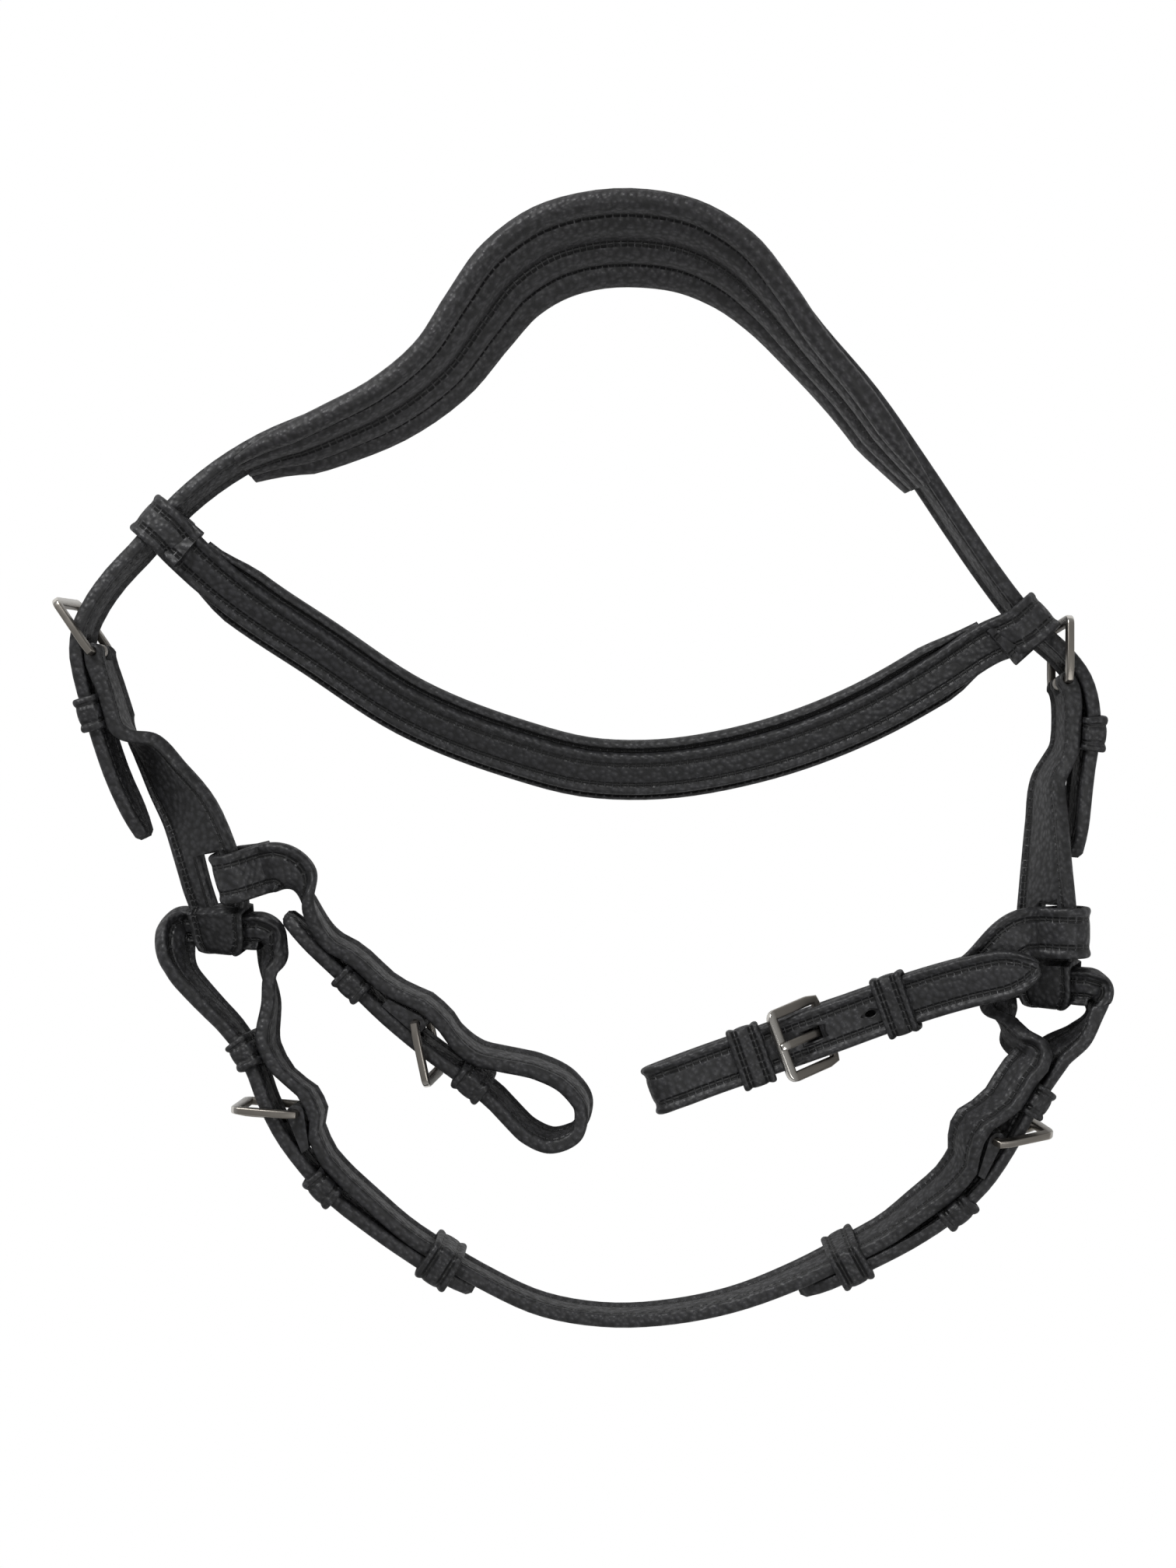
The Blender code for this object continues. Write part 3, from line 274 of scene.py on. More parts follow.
# A strap's face from its edge to its middle: millimetres in from the edge, share of the half thickness
RIDGE_PROFILE = (
    (0.0, 0.25), (0.12, 0.5), (0.4, 0.76), (0.9, 0.94), (1.5, 1.0), (2.1, 0.96), (2.7, 0.84), (3.2, 0.7),
    (3.9, 0.64), (4.6, 0.6), (5.3, 0.66), (6.2, 0.74), (7.6, 0.79),
)


def ridged(half_width):
    """Outline of a strap with a rolled ridge along each edge."""
    quarter = [(1 - inset / 1000 / half_width, b) for inset, b in RIDGE_PROFILE]
    top = quarter + [(0.0, 0.8)] + [(-a, b) for a, b in quarter[::-1]]
    return top + [(a, -b) for a, b in top[::-1]]


STRAP_OUTLINE = ridged(HALF_WIDTH)


def faced_out(mesh, name, look):
    """The finished piece, with its faces outwards, smooth but for its real corners."""
    mesh.normal_update()
    bmesh.ops.recalc_face_normals(mesh, faces=mesh.faces[:])
    if mesh.calc_volume(signed=True) < 0:
        bmesh.ops.reverse_faces(mesh, faces=mesh.faces[:])
    for face in mesh.faces:
        face.smooth = len(face.verts) == 4
    for edge in mesh.edges:
        edge.smooth = edge.calc_face_angle(0) < math.radians(50)
    return new_object(name, mesh, look)


def loft(name, sections, look, outline=STRAP_OUTLINE, closed=False, banded=False, relief=1.0):
    """A solid whose outline is carried from section to section. Its point attribute lay holds the way along,
    the way in from the edge, and the share of the half thickness. A band round a strap has along and edge
    swapped. Where the solid is thicker than twice relief, its ridges stay as deep as they are there."""
    mesh = bmesh.new()
    lay = mesh.verts.layers.float_vector.new("lay")
    ring = [mesh.verts.new((i, 0, 0)) for i in range(len(outline))]
    edges = [mesh.edges.new(pair) for pair in zip(ring, ring[1:] + ring[:1])]
    first = list(edges)
    rings = [ring]
    for _ in sections[1:]:
        made = bmesh.ops.extrude_edge_only(mesh, edges=edges)["geom"]
        fresh = {part for part in made if isinstance(part, bmesh.types.BMVert)}
        ring = [next(e.other_vert(old) for e in old.link_edges if e.other_vert(old) in fresh) for old in ring]
        edges = [mesh.edges.get(pair) for pair in zip(ring, ring[1:] + ring[:1])]
        rings.append(ring)
    for ring, (middle, across, out, along) in zip(rings, sections):
        wide = np.linalg.norm(across)
        depth = min(1, relief / np.linalg.norm(out))
        for corner, (a, b) in zip(ring, outline):
            raised = math.copysign(1 - (1 - abs(b)) * depth, b) if b else 0
            corner.co = middle + a * across + raised * out
            corner[lay] = (a * wide, along, b) if banded else (along, (1 - abs(a)) * wide, b)
    if closed:
        bmesh.ops.bridge_loops(mesh, edges=first + edges)
    else:
        mesh.faces.new(rings[0])
        mesh.faces.new(rings[-1])
    return faced_out(mesh, name, look)


def prism(name, outline, low, high, place, look=None):
    """An outline pushed from low to high, with each corner put where place(a, b, c) says."""
    mesh = bmesh.new()
    base = mesh.faces.new([mesh.verts.new((a, b, low)) for a, b in outline])
    for part in bmesh.ops.extrude_face_region(mesh, geom=[base])["geom"]:
        if isinstance(part, bmesh.types.BMVert):
            part.co.z = high
    for corner in mesh.verts:
        corner.co = place(*corner.co)
    return faced_out(mesh, name, look)


def cut(solid, cutter):
    """Takes the cutter's shape out of the solid, and then does away with the cutter."""
    taken = solid.modifiers.new("cut", "BOOLEAN")
    taken.solver = "EXACT"
    taken.object = cutter
    done = bpy.data.meshes.new_from_object(solid.evaluated_get(bpy.context.evaluated_depsgraph_get()))
    solid.modifiers.remove(taken)
    solid.data = done
    bpy.data.objects.remove(cutter)


def finish_piece(piece, body, slot, *nodes):
    """The piece rides on its body and stands for its CAD nodes, which it hides. The slot argument is not
    used.
    """
    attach(piece, body)
    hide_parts(*nodes)


def arc(centre, radius, start, end, steps):
    """Points on an arc, with its angles in degrees."""
    turns = [math.radians(start + (end - start) * i / steps) for i in range(steps + 1)]
    return [(centre[0] + radius * math.cos(turn), centre[1] + radius * math.sin(turn)) for turn in turns]


def step(x):
    x = min(max(x, 0), 1)
    return x * x * (3 - 2 * x)


def profile(points, s):
    """A smooth line through (s, value) points, flat at each one."""
    points = sorted(points)
    value = points[0][1]
    for (a, low), (b, high) in zip(points, points[1:]):
        if s >= a:
            value = low + (high - low) * step((s - a) / (b - a))
    return value


# The skin's sewing and embossing. A stitch shows for 2.2 mm of its length.
STITCH_LENGTH = 0.003
THREAD_WIDTH = 0.0005
SEAM_FLOOR = 0.0004
SEAM_WIDTH = 0.0013
EMBOSS_DEPTH = 0.0003
WRINKLE_MM = 0.5
PATCH_MM = 38


def pebbled(name, colours, rows_mm, pebble_mm=2.1, sheen=0.42):
    """Synthetic leather: a soft PVC skin over cloth, embossed with pebbles. It is close to black, catches the
    light on each pebble, and is pulled down along each row of sewing, rows_mm in from its edges."""
    made, tree = empty_material(name)
    lay = add(tree, "ShaderNodeAttribute", attribute_name="lay").outputs["Vector"]
    along, edge, _ = add(tree, "ShaderNodeSeparateXYZ", {0: lay}).outputs
    place = add(tree, "ShaderNodeTexCoord").outputs["Object"]
    sockets = {"Vector": place, "Scale": 1000 / pebble_mm, "Smoothness": 0.7}
    pebbles = add(tree, "ShaderNodeTexVoronoi", sockets, feature="SMOOTH_F1").outputs["Distance"]
    fine = add(tree, "ShaderNodeTexNoise", {"Vector": place, "Scale": 1000 / WRINKLE_MM, "Detail": 3})
    broad = add(tree, "ShaderNodeTexNoise", {"Vector": place, "Scale": 1000 / PATCH_MM, "Detail": 4})
    raised = add(tree, "ShaderNodeMapRange", {0: pebbles, 1: 0.15, 2: 0.7, 3: 1, 4: 0})
    beat = along
    steps = (("MULTIPLY", 1 / STITCH_LENGTH), ("FRACT", 0), ("SUBTRACT", 0.5), ("ABSOLUTE", 0))
    for operation, number in steps:
        beat = add(tree, "ShaderNodeMath", {0: beat, 1: number}, operation=operation)
    shows = add(tree, "ShaderNodeMapRange", {0: beat, 1: 0.33, 2: 0.43, 3: 1, 4: 0})
    # The distance from the nearest row of sewing gives the thread and the seam that it pulls down
    nearest = None
    for row in rows_mm:
        off = add(tree, "ShaderNodeMath", {0: edge, 1: row / 1000}, operation="SUBTRACT")
        off = add(tree, "ShaderNodeMath", {0: off}, operation="ABSOLUTE")
        nearest = add(tree, "ShaderNodeMath", {0: nearest, 1: off}, operation="MINIMUM") if nearest else off
    thread = add(tree, "ShaderNodeMapRange", {0: nearest, 1: THREAD_WIDTH / 2, 2: THREAD_WIDTH, 3: 1, 4: 0})
    valley = add(tree, "ShaderNodeMapRange", {0: nearest, 1: SEAM_FLOOR, 2: SEAM_WIDTH, 3: 1, 4: 0})
    base = add(tree, "ShaderNodeMixRGB", {0: broad, 1: linear(colours[0]), 2: linear(colours[1])})
    # Painted shade: the creases between pebbles are darkened in the colour, as if they held no light
    painted_crease_shade = add(tree, "ShaderNodeMapRange", {0: raised, 1: 0.1, 2: 0.8, 3: 0.75, 4: 0})
    # The painted crease shade is mixed into the base colour towards near black
    base = add(tree, "ShaderNodeMixRGB", {0: painted_crease_shade, 1: base, 2: linear("#050505")})
    rough = add(tree, "ShaderNodeMapRange", {0: raised, 1: 0, 2: 1, 3: sheen + 0.16, 4: sheen})
    stitch = add(tree, "ShaderNodeMath", {0: thread, 1: shows}, operation="MULTIPLY")
    # The seam is deepest under each stitch, and the skin pillows up between two. Its groove also gets painted
    # shade in the colour, darkest under each stitch
    held = add(tree, "ShaderNodeMapRange", {0: shows, 1: 0, 2: 1, 3: 0.3, 4: 1})
    seam = add(tree, "ShaderNodeMath", {0: valley, 1: held}, operation="MULTIPLY")
    # Painted shade: the seam's groove is mixed towards near black in the colour
    painted_seam_shade = add(tree, "ShaderNodeMixRGB", {0: seam, 1: base, 2: linear("#070708")})
    colour = add(tree, "ShaderNodeMixRGB", {0: stitch, 1: painted_seam_shade, 2: linear("#101011")})
    height = raised
    for part, share in ((fine, 0.16), (seam, -2.6), (stitch, 2.4)):
        height = add(tree, "ShaderNodeMath", {0: part, 1: share, 2: height}, operation="MULTIPLY_ADD")
    bump = add(tree, "ShaderNodeBump", {"Height": height, "Distance": EMBOSS_DEPTH, "Strength": 1.0})
    shader = add(tree, "ShaderNodeBsdfPrincipled", {
        "Base Color": colour, "Roughness": rough, "Normal": bump, "IOR": 1.5, "Specular IOR Level": 0.5,
    })
    add(tree, "ShaderNodeOutputMaterial", {"Surface": shader})
    return made


strap_skin = pebbled("pebbled_pvc_strap", ("#262628", "#303033"), (4.6,))

head = Route(leaning(HEADPIECE_SHARES, -1))
HEEL_SHARES = {"left": 0.112, "right": 0.894}
# Steps along a billet's tip, and its taper: share of TIP_LENGTH, share of the half width
TIP_STEPS = (0, 0.03, 0.07, 0.12, 0.2, 0.3, 0.45, 0.6, 0.75, 0.9)
TIP_TAPER = ((0, 0.3), (0.12, 0.5), (0.45, 0.8), (0.75, 0.95), (1, 1))


def tip_sections(route, tip, towards, facing=1):
    """The pointed end of a billet: tip is its end, and towards is the way along the route into the billet."""
    rows = []
    for along in TIP_STEPS:
        wide = np.interp(along, *zip(*TIP_TAPER)) * HALF_WIDTH
        thick = facing * HALF_THICKNESS * (0.55 + 0.45 * step(along / 0.12))
        rows.append(section(route, tip + towards * along * TIP_LENGTH, 0.0, wide, thick))
    return rows


rows = tip_sections(head, 0, 1)
rows += [section(head, s) for s in head.stops(TIP_LENGTH, head.length - TIP_LENGTH)]
rows += tip_sections(head, head.length, -1)[::-1]
headpiece = loft("headpiece", rows, strap_skin)
finish_piece(headpiece, "bridle", "strap_leather", "headpiece_strap")

# The crown pad. A wide, soft backing of the same skin over foam, sewn inside the
# headpiece where it goes over the poll. Three rows of sewing draw it down into
# channels between its rolls.
CROWN_START_SHARE = 0.257
CROWN_END_SHARE = 0.755
CROWN_PAD_WIDTH = 0.054
CROWN_PAD_END_WIDTH = 0.034
CROWN_PAD_THICKNESS = 0.008
# Outline: share of the half width, share of the half thickness
CROWN_OUTLINE_SHARES = (
    (1, -0.1), (1.0, 0.2), (0.985, 0.5), (0.95, 0.78), (0.9, 0.93), (0.83, 1.0), (0.76, 0.98), (0.7, 0.88),
    (0.65, 0.68), (0.61, 0.42), (0.585, 0.32), (0.56, 0.42), (0.52, 0.62), (0.46, 0.76), (0.38, 0.82),
    (0.3, 0.8), (0.2, 0.7), (0.12, 0.5), (0.07, 0.34), (0.04, 0.3), (0.01, 0.38), (-0.04, 0.66),
    (-0.1, 0.86), (-0.18, 0.95), (-0.27, 0.95), (-0.35, 0.84), (-0.42, 0.6), (-0.46, 0.36), (-0.48, 0.3),
    (-0.5, 0.38), (-0.55, 0.66), (-0.62, 0.86), (-0.7, 0.93), (-0.79, 0.92), (-0.87, 0.82), (-0.93, 0.62),
    (-0.97, 0.36), (-1, 0), (-0.98, -0.5), (-0.92, -0.9), (-0.8, -1), (-0.4, -1), (0.4, -1), (0.8, -1),
    (0.92, -0.95), (0.98, -0.6),
)
pad_skin = pebbled("pebbled_pvc_pad", ("#272628", "#323134"), (11.0, 27.0, 39.5))
start, end = CROWN_START_SHARE * head.length, CROWN_END_SHARE * head.length
rows = []
for s in head.stops(start, end):
    along = (s - start) / (end - start)
    rounded = min(1, 0.35 + 9 * min(along, 1 - along))
    swell = math.sin(math.pi * along) ** 0.7
    wide = (CROWN_PAD_END_WIDTH + (CROWN_PAD_WIDTH - CROWN_PAD_END_WIDTH) * swell) / 2
    thick = CROWN_PAD_THICKNESS / 2 * rounded
    depth = -(HALF_THICKNESS + GAP + thick)
    rows.append(section(head, s, depth, wide * (0.8 + 0.2 * rounded), -thick))
crown = loft("crown_padding", rows, pad_skin, CROWN_OUTLINE_SHARES)
# Its rows of sewing lie at set places across it, so its edge distance is measured from the upper edge
lay = crown.data.attributes["lay"].data
spans = len(CROWN_OUTLINE_SHARES)
for i, corner in enumerate(lay):
    a, b = CROWN_OUTLINE_SHARES[i % spans]
    corner.vector = (corner.vector[0], (1 - a) * CROWN_PAD_WIDTH / 2 if b > -0.2 else 1, b)
finish_piece(crown, "bridle", "pad_leather", "crown_pad")

# The browband. A strap of the same make, thinner at its ends, where it folds back
# round the headpiece in a loop, with a padded backing a little wider than itself
# sewn on behind.
BAND_LEFT_SHARE = 0.199
BAND_TO_BUCKLE = 0.0273
SKIVED_THICKNESS = 0.003
BAND_WIDTH = 0.018
BAND_THICKNESS = 0.004
BAND_PAD_WIDTH = 0.026
BAND_PAD_THICKNESS = 0.007
LOOP_PLAY = 0.0018
BROWBAND_SHARES = (
    (-0.388, 0.19, 1.27, -74), (-0.365, 0.17, 1.22, -70), (-0.33, 0.144, 1.13, -66),
    (-0.262, 0.102, 1.0, -64), (-0.17, 0.047, 0.9, -62), (-0.074, 0.012, 0.85, -62),
    (0.004, -0.006, 0.84, -62), (0.052, -0.008, 0.84, -62), (0.162, 0.007, 0.85, -62),
    (0.269, 0.043, 0.92, -64), (0.34, 0.08, 1.08, -68), (0.385, 0.107, 1.24, -72),
)
BAND_OUTLINE = ridged(BAND_WIDTH / 2)
BAND_FLAT_SHARE = 0.35
BAND_PAD_OUTLINE_SHARES = (
    (1, 0), (0.995, 0.35), (0.96, 0.66), (0.91, 0.8), (0.85, 0.82), (0.79, 0.7), (0.75, 0.5), (0.72, 0.35),
    (0.4, 0.35), (-0.4, 0.35), (-0.72, 0.35), (-0.75, 0.5), (-0.79, 0.7), (-0.85, 0.82), (-0.91, 0.8),
    (-0.96, 0.66), (-0.995, 0.35), (-1, 0), (-0.98, -0.4), (-0.92, -0.75), (-0.8, -0.92), (-0.5, -1),
    (0, -1), (0.5, -1), (0.8, -0.92), (0.92, -0.75), (0.98, -0.4),
)


def folded(path, middle, right, up, across):
    """Sections of a skived end that follows a path drawn in the plane of right and up."""
    points = np.array(path)
    ways = unit(np.gradient(points, axis=0))
    half = SKIVED_THICKNESS / 2
    rows = []
    for (x, y), (a, b), along in zip(points, ways, lengths(points)):
        rows.append((middle + x * right + y * up, across, half * (a * up - b * right), along))
    return rows


def loop_round_headpiece(s, way):
    """Sections of a browband loop round the headpiece strap, from its turned end over to the browband."""
    _, tangent, normal, width = head.frame(s)
    half = SKIVED_THICKNESS / 2
    across = HALF_THICKNESS + LOOP_PLAY + half
    high = HALF_WIDTH + LOOP_PLAY + half
    under = high - BAND_THICKNESS / 2 - GAP - half
    path = [(across + STRAP_WIDTH * 0.6, under - GAP), (across + STRAP_WIDTH * 0.2, under - GAP)]
    path += [(across, under - across), (across, across - high)]
    path += arc((0, across - high), across, -15, -180, 12)
    path += [(-across, high - across)] + arc((0, high - across), across, 165, 90, 6)
    path += [(across, high)]
    return folded(path, head.place(s), -normal, width, way * BAND_WIDTH / 2 * tangent)


left = loop_round_headpiece(BAND_LEFT_SHARE * head.length, 1)
right = loop_round_headpiece(HEEL_SHARES["right"] * head.length - BAND_TO_BUCKLE, -1)[::-1]
ends = [(row[0], unit(row[1])) for row in (left[-2], left[-1], right[0], right[1])]
line = Route(ends[:2] + leaning(BROWBAND_SHARES, 1) + ends[2:], front=-1)
first = STRAP_WIDTH * 0.45
stops = line.stops(first, line.length - first)
middle = [section(line, s, 0, BAND_WIDTH / 2, BAND_THICKNESS / 2) for s in stops]
browband = loft("browband", left + middle + right, strap_skin, BAND_OUTLINE)
finish_piece(browband, "browband", "strap_leather", "browband_strap")

band_pad_skin = pebbled("pebbled_pvc_band_pad", ("#262628", "#313133"), (3.2,), sheen=0.44)
half = BAND_PAD_THICKNESS / 2
start = first + STRAP_WIDTH * 0.7
rows = []
for s in line.stops(start, line.length - start):
    along = min(s - start, line.length - start - s)
    rounded = 0.55 + 0.45 * step(along / BAND_PAD_WIDTH)
    tapered = 0.7 + 0.3 * step(along / BAND_PAD_WIDTH)
    depth = -(BAND_THICKNESS / 2 + GAP + half * BAND_FLAT_SHARE)
    rows.append(section(line, s, depth, tapered * BAND_PAD_WIDTH / 2, half * rounded))
backing = loft("browband_backing", rows, band_pad_skin, BAND_PAD_OUTLINE_SHARES)
finish_piece(backing, "browband", "pad_leather", "browband_pad")

# The six buckles. Cast stainless steel frames, ground satin and polished along the
# toe bar, with a round heel bar on which the strap's fold and the tongue turn. The
# tongue is wire, coiled round the heel bar and flattened where it meets the toe bar.
RAIL_WIDTH = 0.004
RAIL_THICKNESS = 0.003
RAIL_CLEARANCE = 0.001
HEEL_RADIUS = 0.0015
BUCKLE_LENGTH = 0.027
TONGUE_WIDTH = 0.004
TONGUE_THICKNESS = 0.0022
COIL_WALL = 0.0012
TONGUE_PLAY = 0.0006
CHAPE_LAYER = 0.0018
FRAME_ROCK = 4
TONGUE_LIFT = 6
FRAME_INNER_HALF = HALF_WIDTH + RAIL_CLEARANCE
TOE_REACH = BUCKLE_LENGTH - RAIL_WIDTH / 2 - HEEL_RADIUS
BORE_RADIUS = HEEL_RADIUS + GAP
FOLD_RADIUS = BORE_RADIUS + CHAPE_LAYER
HEEL_DEPTH = HALF_THICKNESS + GAP + FOLD_RADIUS
COIL_RADIUS = HEEL_RADIUS + GAP + COIL_WALL / 2
CUT_OVERRUN = STRAP_WIDTH

# Along the tongue from coil to tip: share of TOE_REACH, share of its resting height, share of its thickness
TONGUE_SHARES = (
    (0.1, 1.0, 0.6), (0.16, 1.0, 0.9), (0.35, 1.04, 1), (0.6, 1.08, 1), (0.8, 1.1, 1), (0.92, 1.1, 0.95),
    (1.0, 1.06, 0.92), (1.05, 1.02, 0.85), (1.08, 0.95, 0.7), (1.1, 0.9, 0.45),
)
# Near its tip: share of TOE_REACH, share of its half width
TONGUE_TAPER = ((0.9, 0.85), (1.05, 0.8), (1.1, 0.6))
GROUND_GRAIN_MM = 0.35
WEAR_MM = 6
GRIND_DEPTH = 0.00003

# Satin stainless steel: a fine ground grain, with the toe bar's outer edge polished to a lower roughness and
# given a painted highlight in a lighter colour
satin, tree = empty_material("satin_stainless_steel")
lay = add(tree, "ShaderNodeAttribute", attribute_name="lay").outputs["Vector"]
reach = add(tree, "ShaderNodeSeparateXYZ", {0: lay})
place = add(tree, "ShaderNodeTexCoord").outputs["Object"]
grain = add(tree, "ShaderNodeTexNoise", {"Vector": place, "Scale": 1000 / GROUND_GRAIN_MM, "Detail": 2})
wear = add(tree, "ShaderNodeTexNoise", {"Vector": place, "Scale": 1000 / WEAR_MM, "Detail": 3})
toe_polish_and_painted_highlight = add(tree, "ShaderNodeMapRange", {0: reach, 1: TOE_REACH * 0.93, 2: TOE_REACH * 1.03, 3: 0, 4: 1})
rough = add(tree, "ShaderNodeMapRange", {0: wear, 1: 0.3, 2: 0.7, 3: 0.27, 4: 0.38})
rough = add(tree, "ShaderNodeMath", {0: toe_polish_and_painted_highlight, 1: -0.2, 2: rough}, operation="MULTIPLY_ADD")
# Painted highlight: the toe bar's outer edge is coloured much lighter than the rest of the steel
colour = add(tree, "ShaderNodeMixRGB", {0: toe_polish_and_painted_highlight, 1: linear("#96918a"), 2: linear("#d2cfc9")})
bump = add(tree, "ShaderNodeBump", {"Height": grain, "Distance": GRIND_DEPTH, "Strength": 0.5})
shader = add(tree, "ShaderNodeBsdfPrincipled", {
    "Base Color": colour, "Roughness": rough, "Metallic": 1.0, "Normal": bump,
})
add(tree, "ShaderNodeOutputMaterial", {"Surface": shader})


def rounded_outline(power, steps):
    """A square outline with rounded corners, as shares of its half sizes."""
    turns = [2 * math.pi * (i + 0.5) / steps for i in range(steps)]
    return [tuple(math.copysign(abs(f(t)) ** (2 / power), f(t)) for f in (math.cos, math.sin)) for t in turns]


def buckle(name, route, heel_s, towards, lean, slack):
    """A buckle done up on a strap. towards is the way along the route from heel bar to toe bar."""
    _, tangent, normal, _ = route.frame(heel_s)
    angle = math.radians(lean)
    along = towards * tangent
    forward = math.cos(angle) * along + math.sin(angle) * normal
    outward = math.cos(angle) * normal - math.sin(angle) * along
    axis = np.cross(forward, outward)
    turned = Matrix(np.column_stack([forward, outward, axis]).tolist()).to_4x4()
    turned.translation = route.place(heel_s, -HEEL_DEPTH - slack)

    middle = FRAME_INNER_HALF + RAIL_WIDTH / 2
    corner = RAIL_WIDTH / 2
    bar = (HEEL_RADIUS, HEEL_RADIUS)
    rail = (RAIL_WIDTH / 2, RAIL_THICKNESS / 2)
    path = [
        ((0, 0), (-1, 0), bar),
        ((0, FRAME_INNER_HALF), (-1, 0), bar),
        ((HEEL_RADIUS / 3, middle - HEEL_RADIUS / 3), (-1, 1), (RAIL_WIDTH / 2, HEEL_RADIUS)),
        ((RAIL_WIDTH, middle), (0, 1), rail),
        ((TOE_REACH / 2, middle), (0, 1), rail),
    ]
    for turn in range(0, 91, 15):
        a, b = math.sin(math.radians(turn)), math.cos(math.radians(turn))
        path.append(((TOE_REACH - corner + corner * a, middle - corner + corner * b), (a, b), rail))
    path.append(((TOE_REACH, 0), (1, 0), rail))
    path += [((x, -z), (a, -b), half) for (x, z), (a, b), half in path[-2:0:-1]]
    rows = []
    for (x, z), (a, b), (half_across, half_up) in path:
        out = np.array([a, 0, b]) / math.hypot(a, b)
        rows.append((np.array([x, 0, z]), half_across * out, np.array([0, half_up, 0]), x))
    ring = loft(name + "_frame", rows, satin, rounded_outline(5, 24), closed=True)

    rest = RAIL_THICKNESS / 2 + GAP + TONGUE_THICKNESS / 2
    rows = []
    for x, y in arc((0, 0), COIL_RADIUS, 345, 95, 24):
        out = np.array([x, y, 0]) / math.hypot(x, y)
        rows.append((np.array([x, y, 0]), np.array([0, 0, TONGUE_WIDTH / 2]), COIL_WALL / 2 * out, x))
    for reach, high, thick in TONGUE_SHARES:
        narrow = TONGUE_WIDTH / 2 * np.interp(reach, *zip(*TONGUE_TAPER))
        place = np.array([reach * TOE_REACH, high * rest, 0])
        up = np.array([0, thick * TONGUE_THICKNESS / 2, 0])
        rows.append((place, np.array([0, 0, narrow]), up, place[0]))
    wire = loft(name + "_tongue", rows, satin, rounded_outline(2.6, 16))
    for piece, part in ((ring, "_buckle_frame"), (wire, "_buckle_tongue")):
        for corner, vertex in zip(piece.data.attributes["lay"].data, piece.data.vertices):
            corner.vector = (vertex.co.x, 0, 0)
        piece.data.transform(turned)
        finish_piece(piece, name + part, "buckle_steel", name + part)
    return turned


def in_buckle(turned):
    """Puts a corner given in a buckle's own coordinates: towards the toe, outward, along the heel bar."""
    return lambda a, b, c: turned @ Matrix.Translation((a, b, c)).translation


def rotated(x, y, degrees):
    turn = math.radians(degrees)
    return x * math.cos(turn) - y * math.sin(turn), x * math.sin(turn) + y * math.cos(turn)


def bore_for_heel(solid, turned, lean):
    """The hole that the heel bar turns in, and the gap for the tongue's coil."""
    half = FRAME_INNER_HALF
    cut(solid, prism("bore", arc((0, 0), BORE_RADIUS, 0, 345, 23), -half, half, in_buckle(turned)))
    half = TONGUE_WIDTH / 2 + TONGUE_PLAY
    near = -(COIL_RADIUS + COIL_WALL / 2 + GAP)
    far = CUT_OVERRUN
    outline = [rotated(x, y, -lean) for x, y in ((near, -far), (near, far), (far, far), (far, -far))]
    cut(solid, prism("slot", outline, -half, half, in_buckle(turned)))


def tongue_hole(solid, turned):
    """The billet's hole, long enough for the tongue to rock with the frame and lift."""
    half = TONGUE_WIDTH / 2 + TONGUE_PLAY
    far = TOE_REACH - RAIL_WIDTH / 2
    rest = RAIL_THICKNESS / 2 + GAP
    top = rest + TONGUE_THICKNESS + TONGUE_PLAY
    outline = [(0, COIL_RADIUS / 2 - TONGUE_PLAY), (far, rest - TONGUE_PLAY)]
    outline += [rotated(x, top, FRAME_ROCK + TONGUE_LIFT) for x in (far, 0)]
    cut(solid, prism("hole", outline, -half, half, in_buckle(turned)))


# The keepers and runners. Short bands of the same skin, with both edges rolled and a
# row of sewing inside each, wrapped round the strap and butted behind.
KEEPER_WIDTH = 0.013
KEEPER_WALL = 0.002
KEEPER_PLAY = 0.0004
# Across the band: share of its half width, share of its wall
BAND_ROLL_SHARES = (
    (-1.04, 0.4), (-1.03, 0.72), (-0.99, 0.95), (-0.9, 1.1), (-0.79, 1.13), (-0.68, 1.04), (-0.59, 0.9),
    (-0.53, 0.8), (-0.46, 0.86), (-0.36, 0.94), (-0.2, 0.98), (0, 1.0),
)
keeper_skin = pebbled("pebbled_pvc_keeper", ("#232325", "#2d2d30"), (3.1,), pebble_mm=1.8)


def keeper(name, route, s, body, node, low=-HALF_THICKNESS, play=KEEPER_PLAY):
    """A band round a strap, from the strap's face down to low, the far face of what it holds."""
    half = KEEPER_WIDTH / 2
    middle = (low + HALF_THICKNESS) / 2
    inner = (HALF_WIDTH + play, (HALF_THICKNESS - low) / 2 + play)
    across = list(BAND_ROLL_SHARES) + [(-a, b) for a, b in BAND_ROLL_SHARES[-2::-1]]
    across += [(0.96, 0), (0.5, 0), (0, 0), (-0.5, 0), (-0.96, 0)]
    rows = []
    for share, wall in across:
        grown = [size + wall * KEEPER_WALL for size in inner]
        place, wide, out, _ = section(route, s + share * half, middle, *grown)
        rows.append((place, wide, out, (1 - abs(share)) * half if wall > 0 else 1))
    band = loft(name, rows, keeper_skin, rounded_outline(6, 48), closed=True, banded=True)
    finish_piece(band, body, "strap_leather", node)


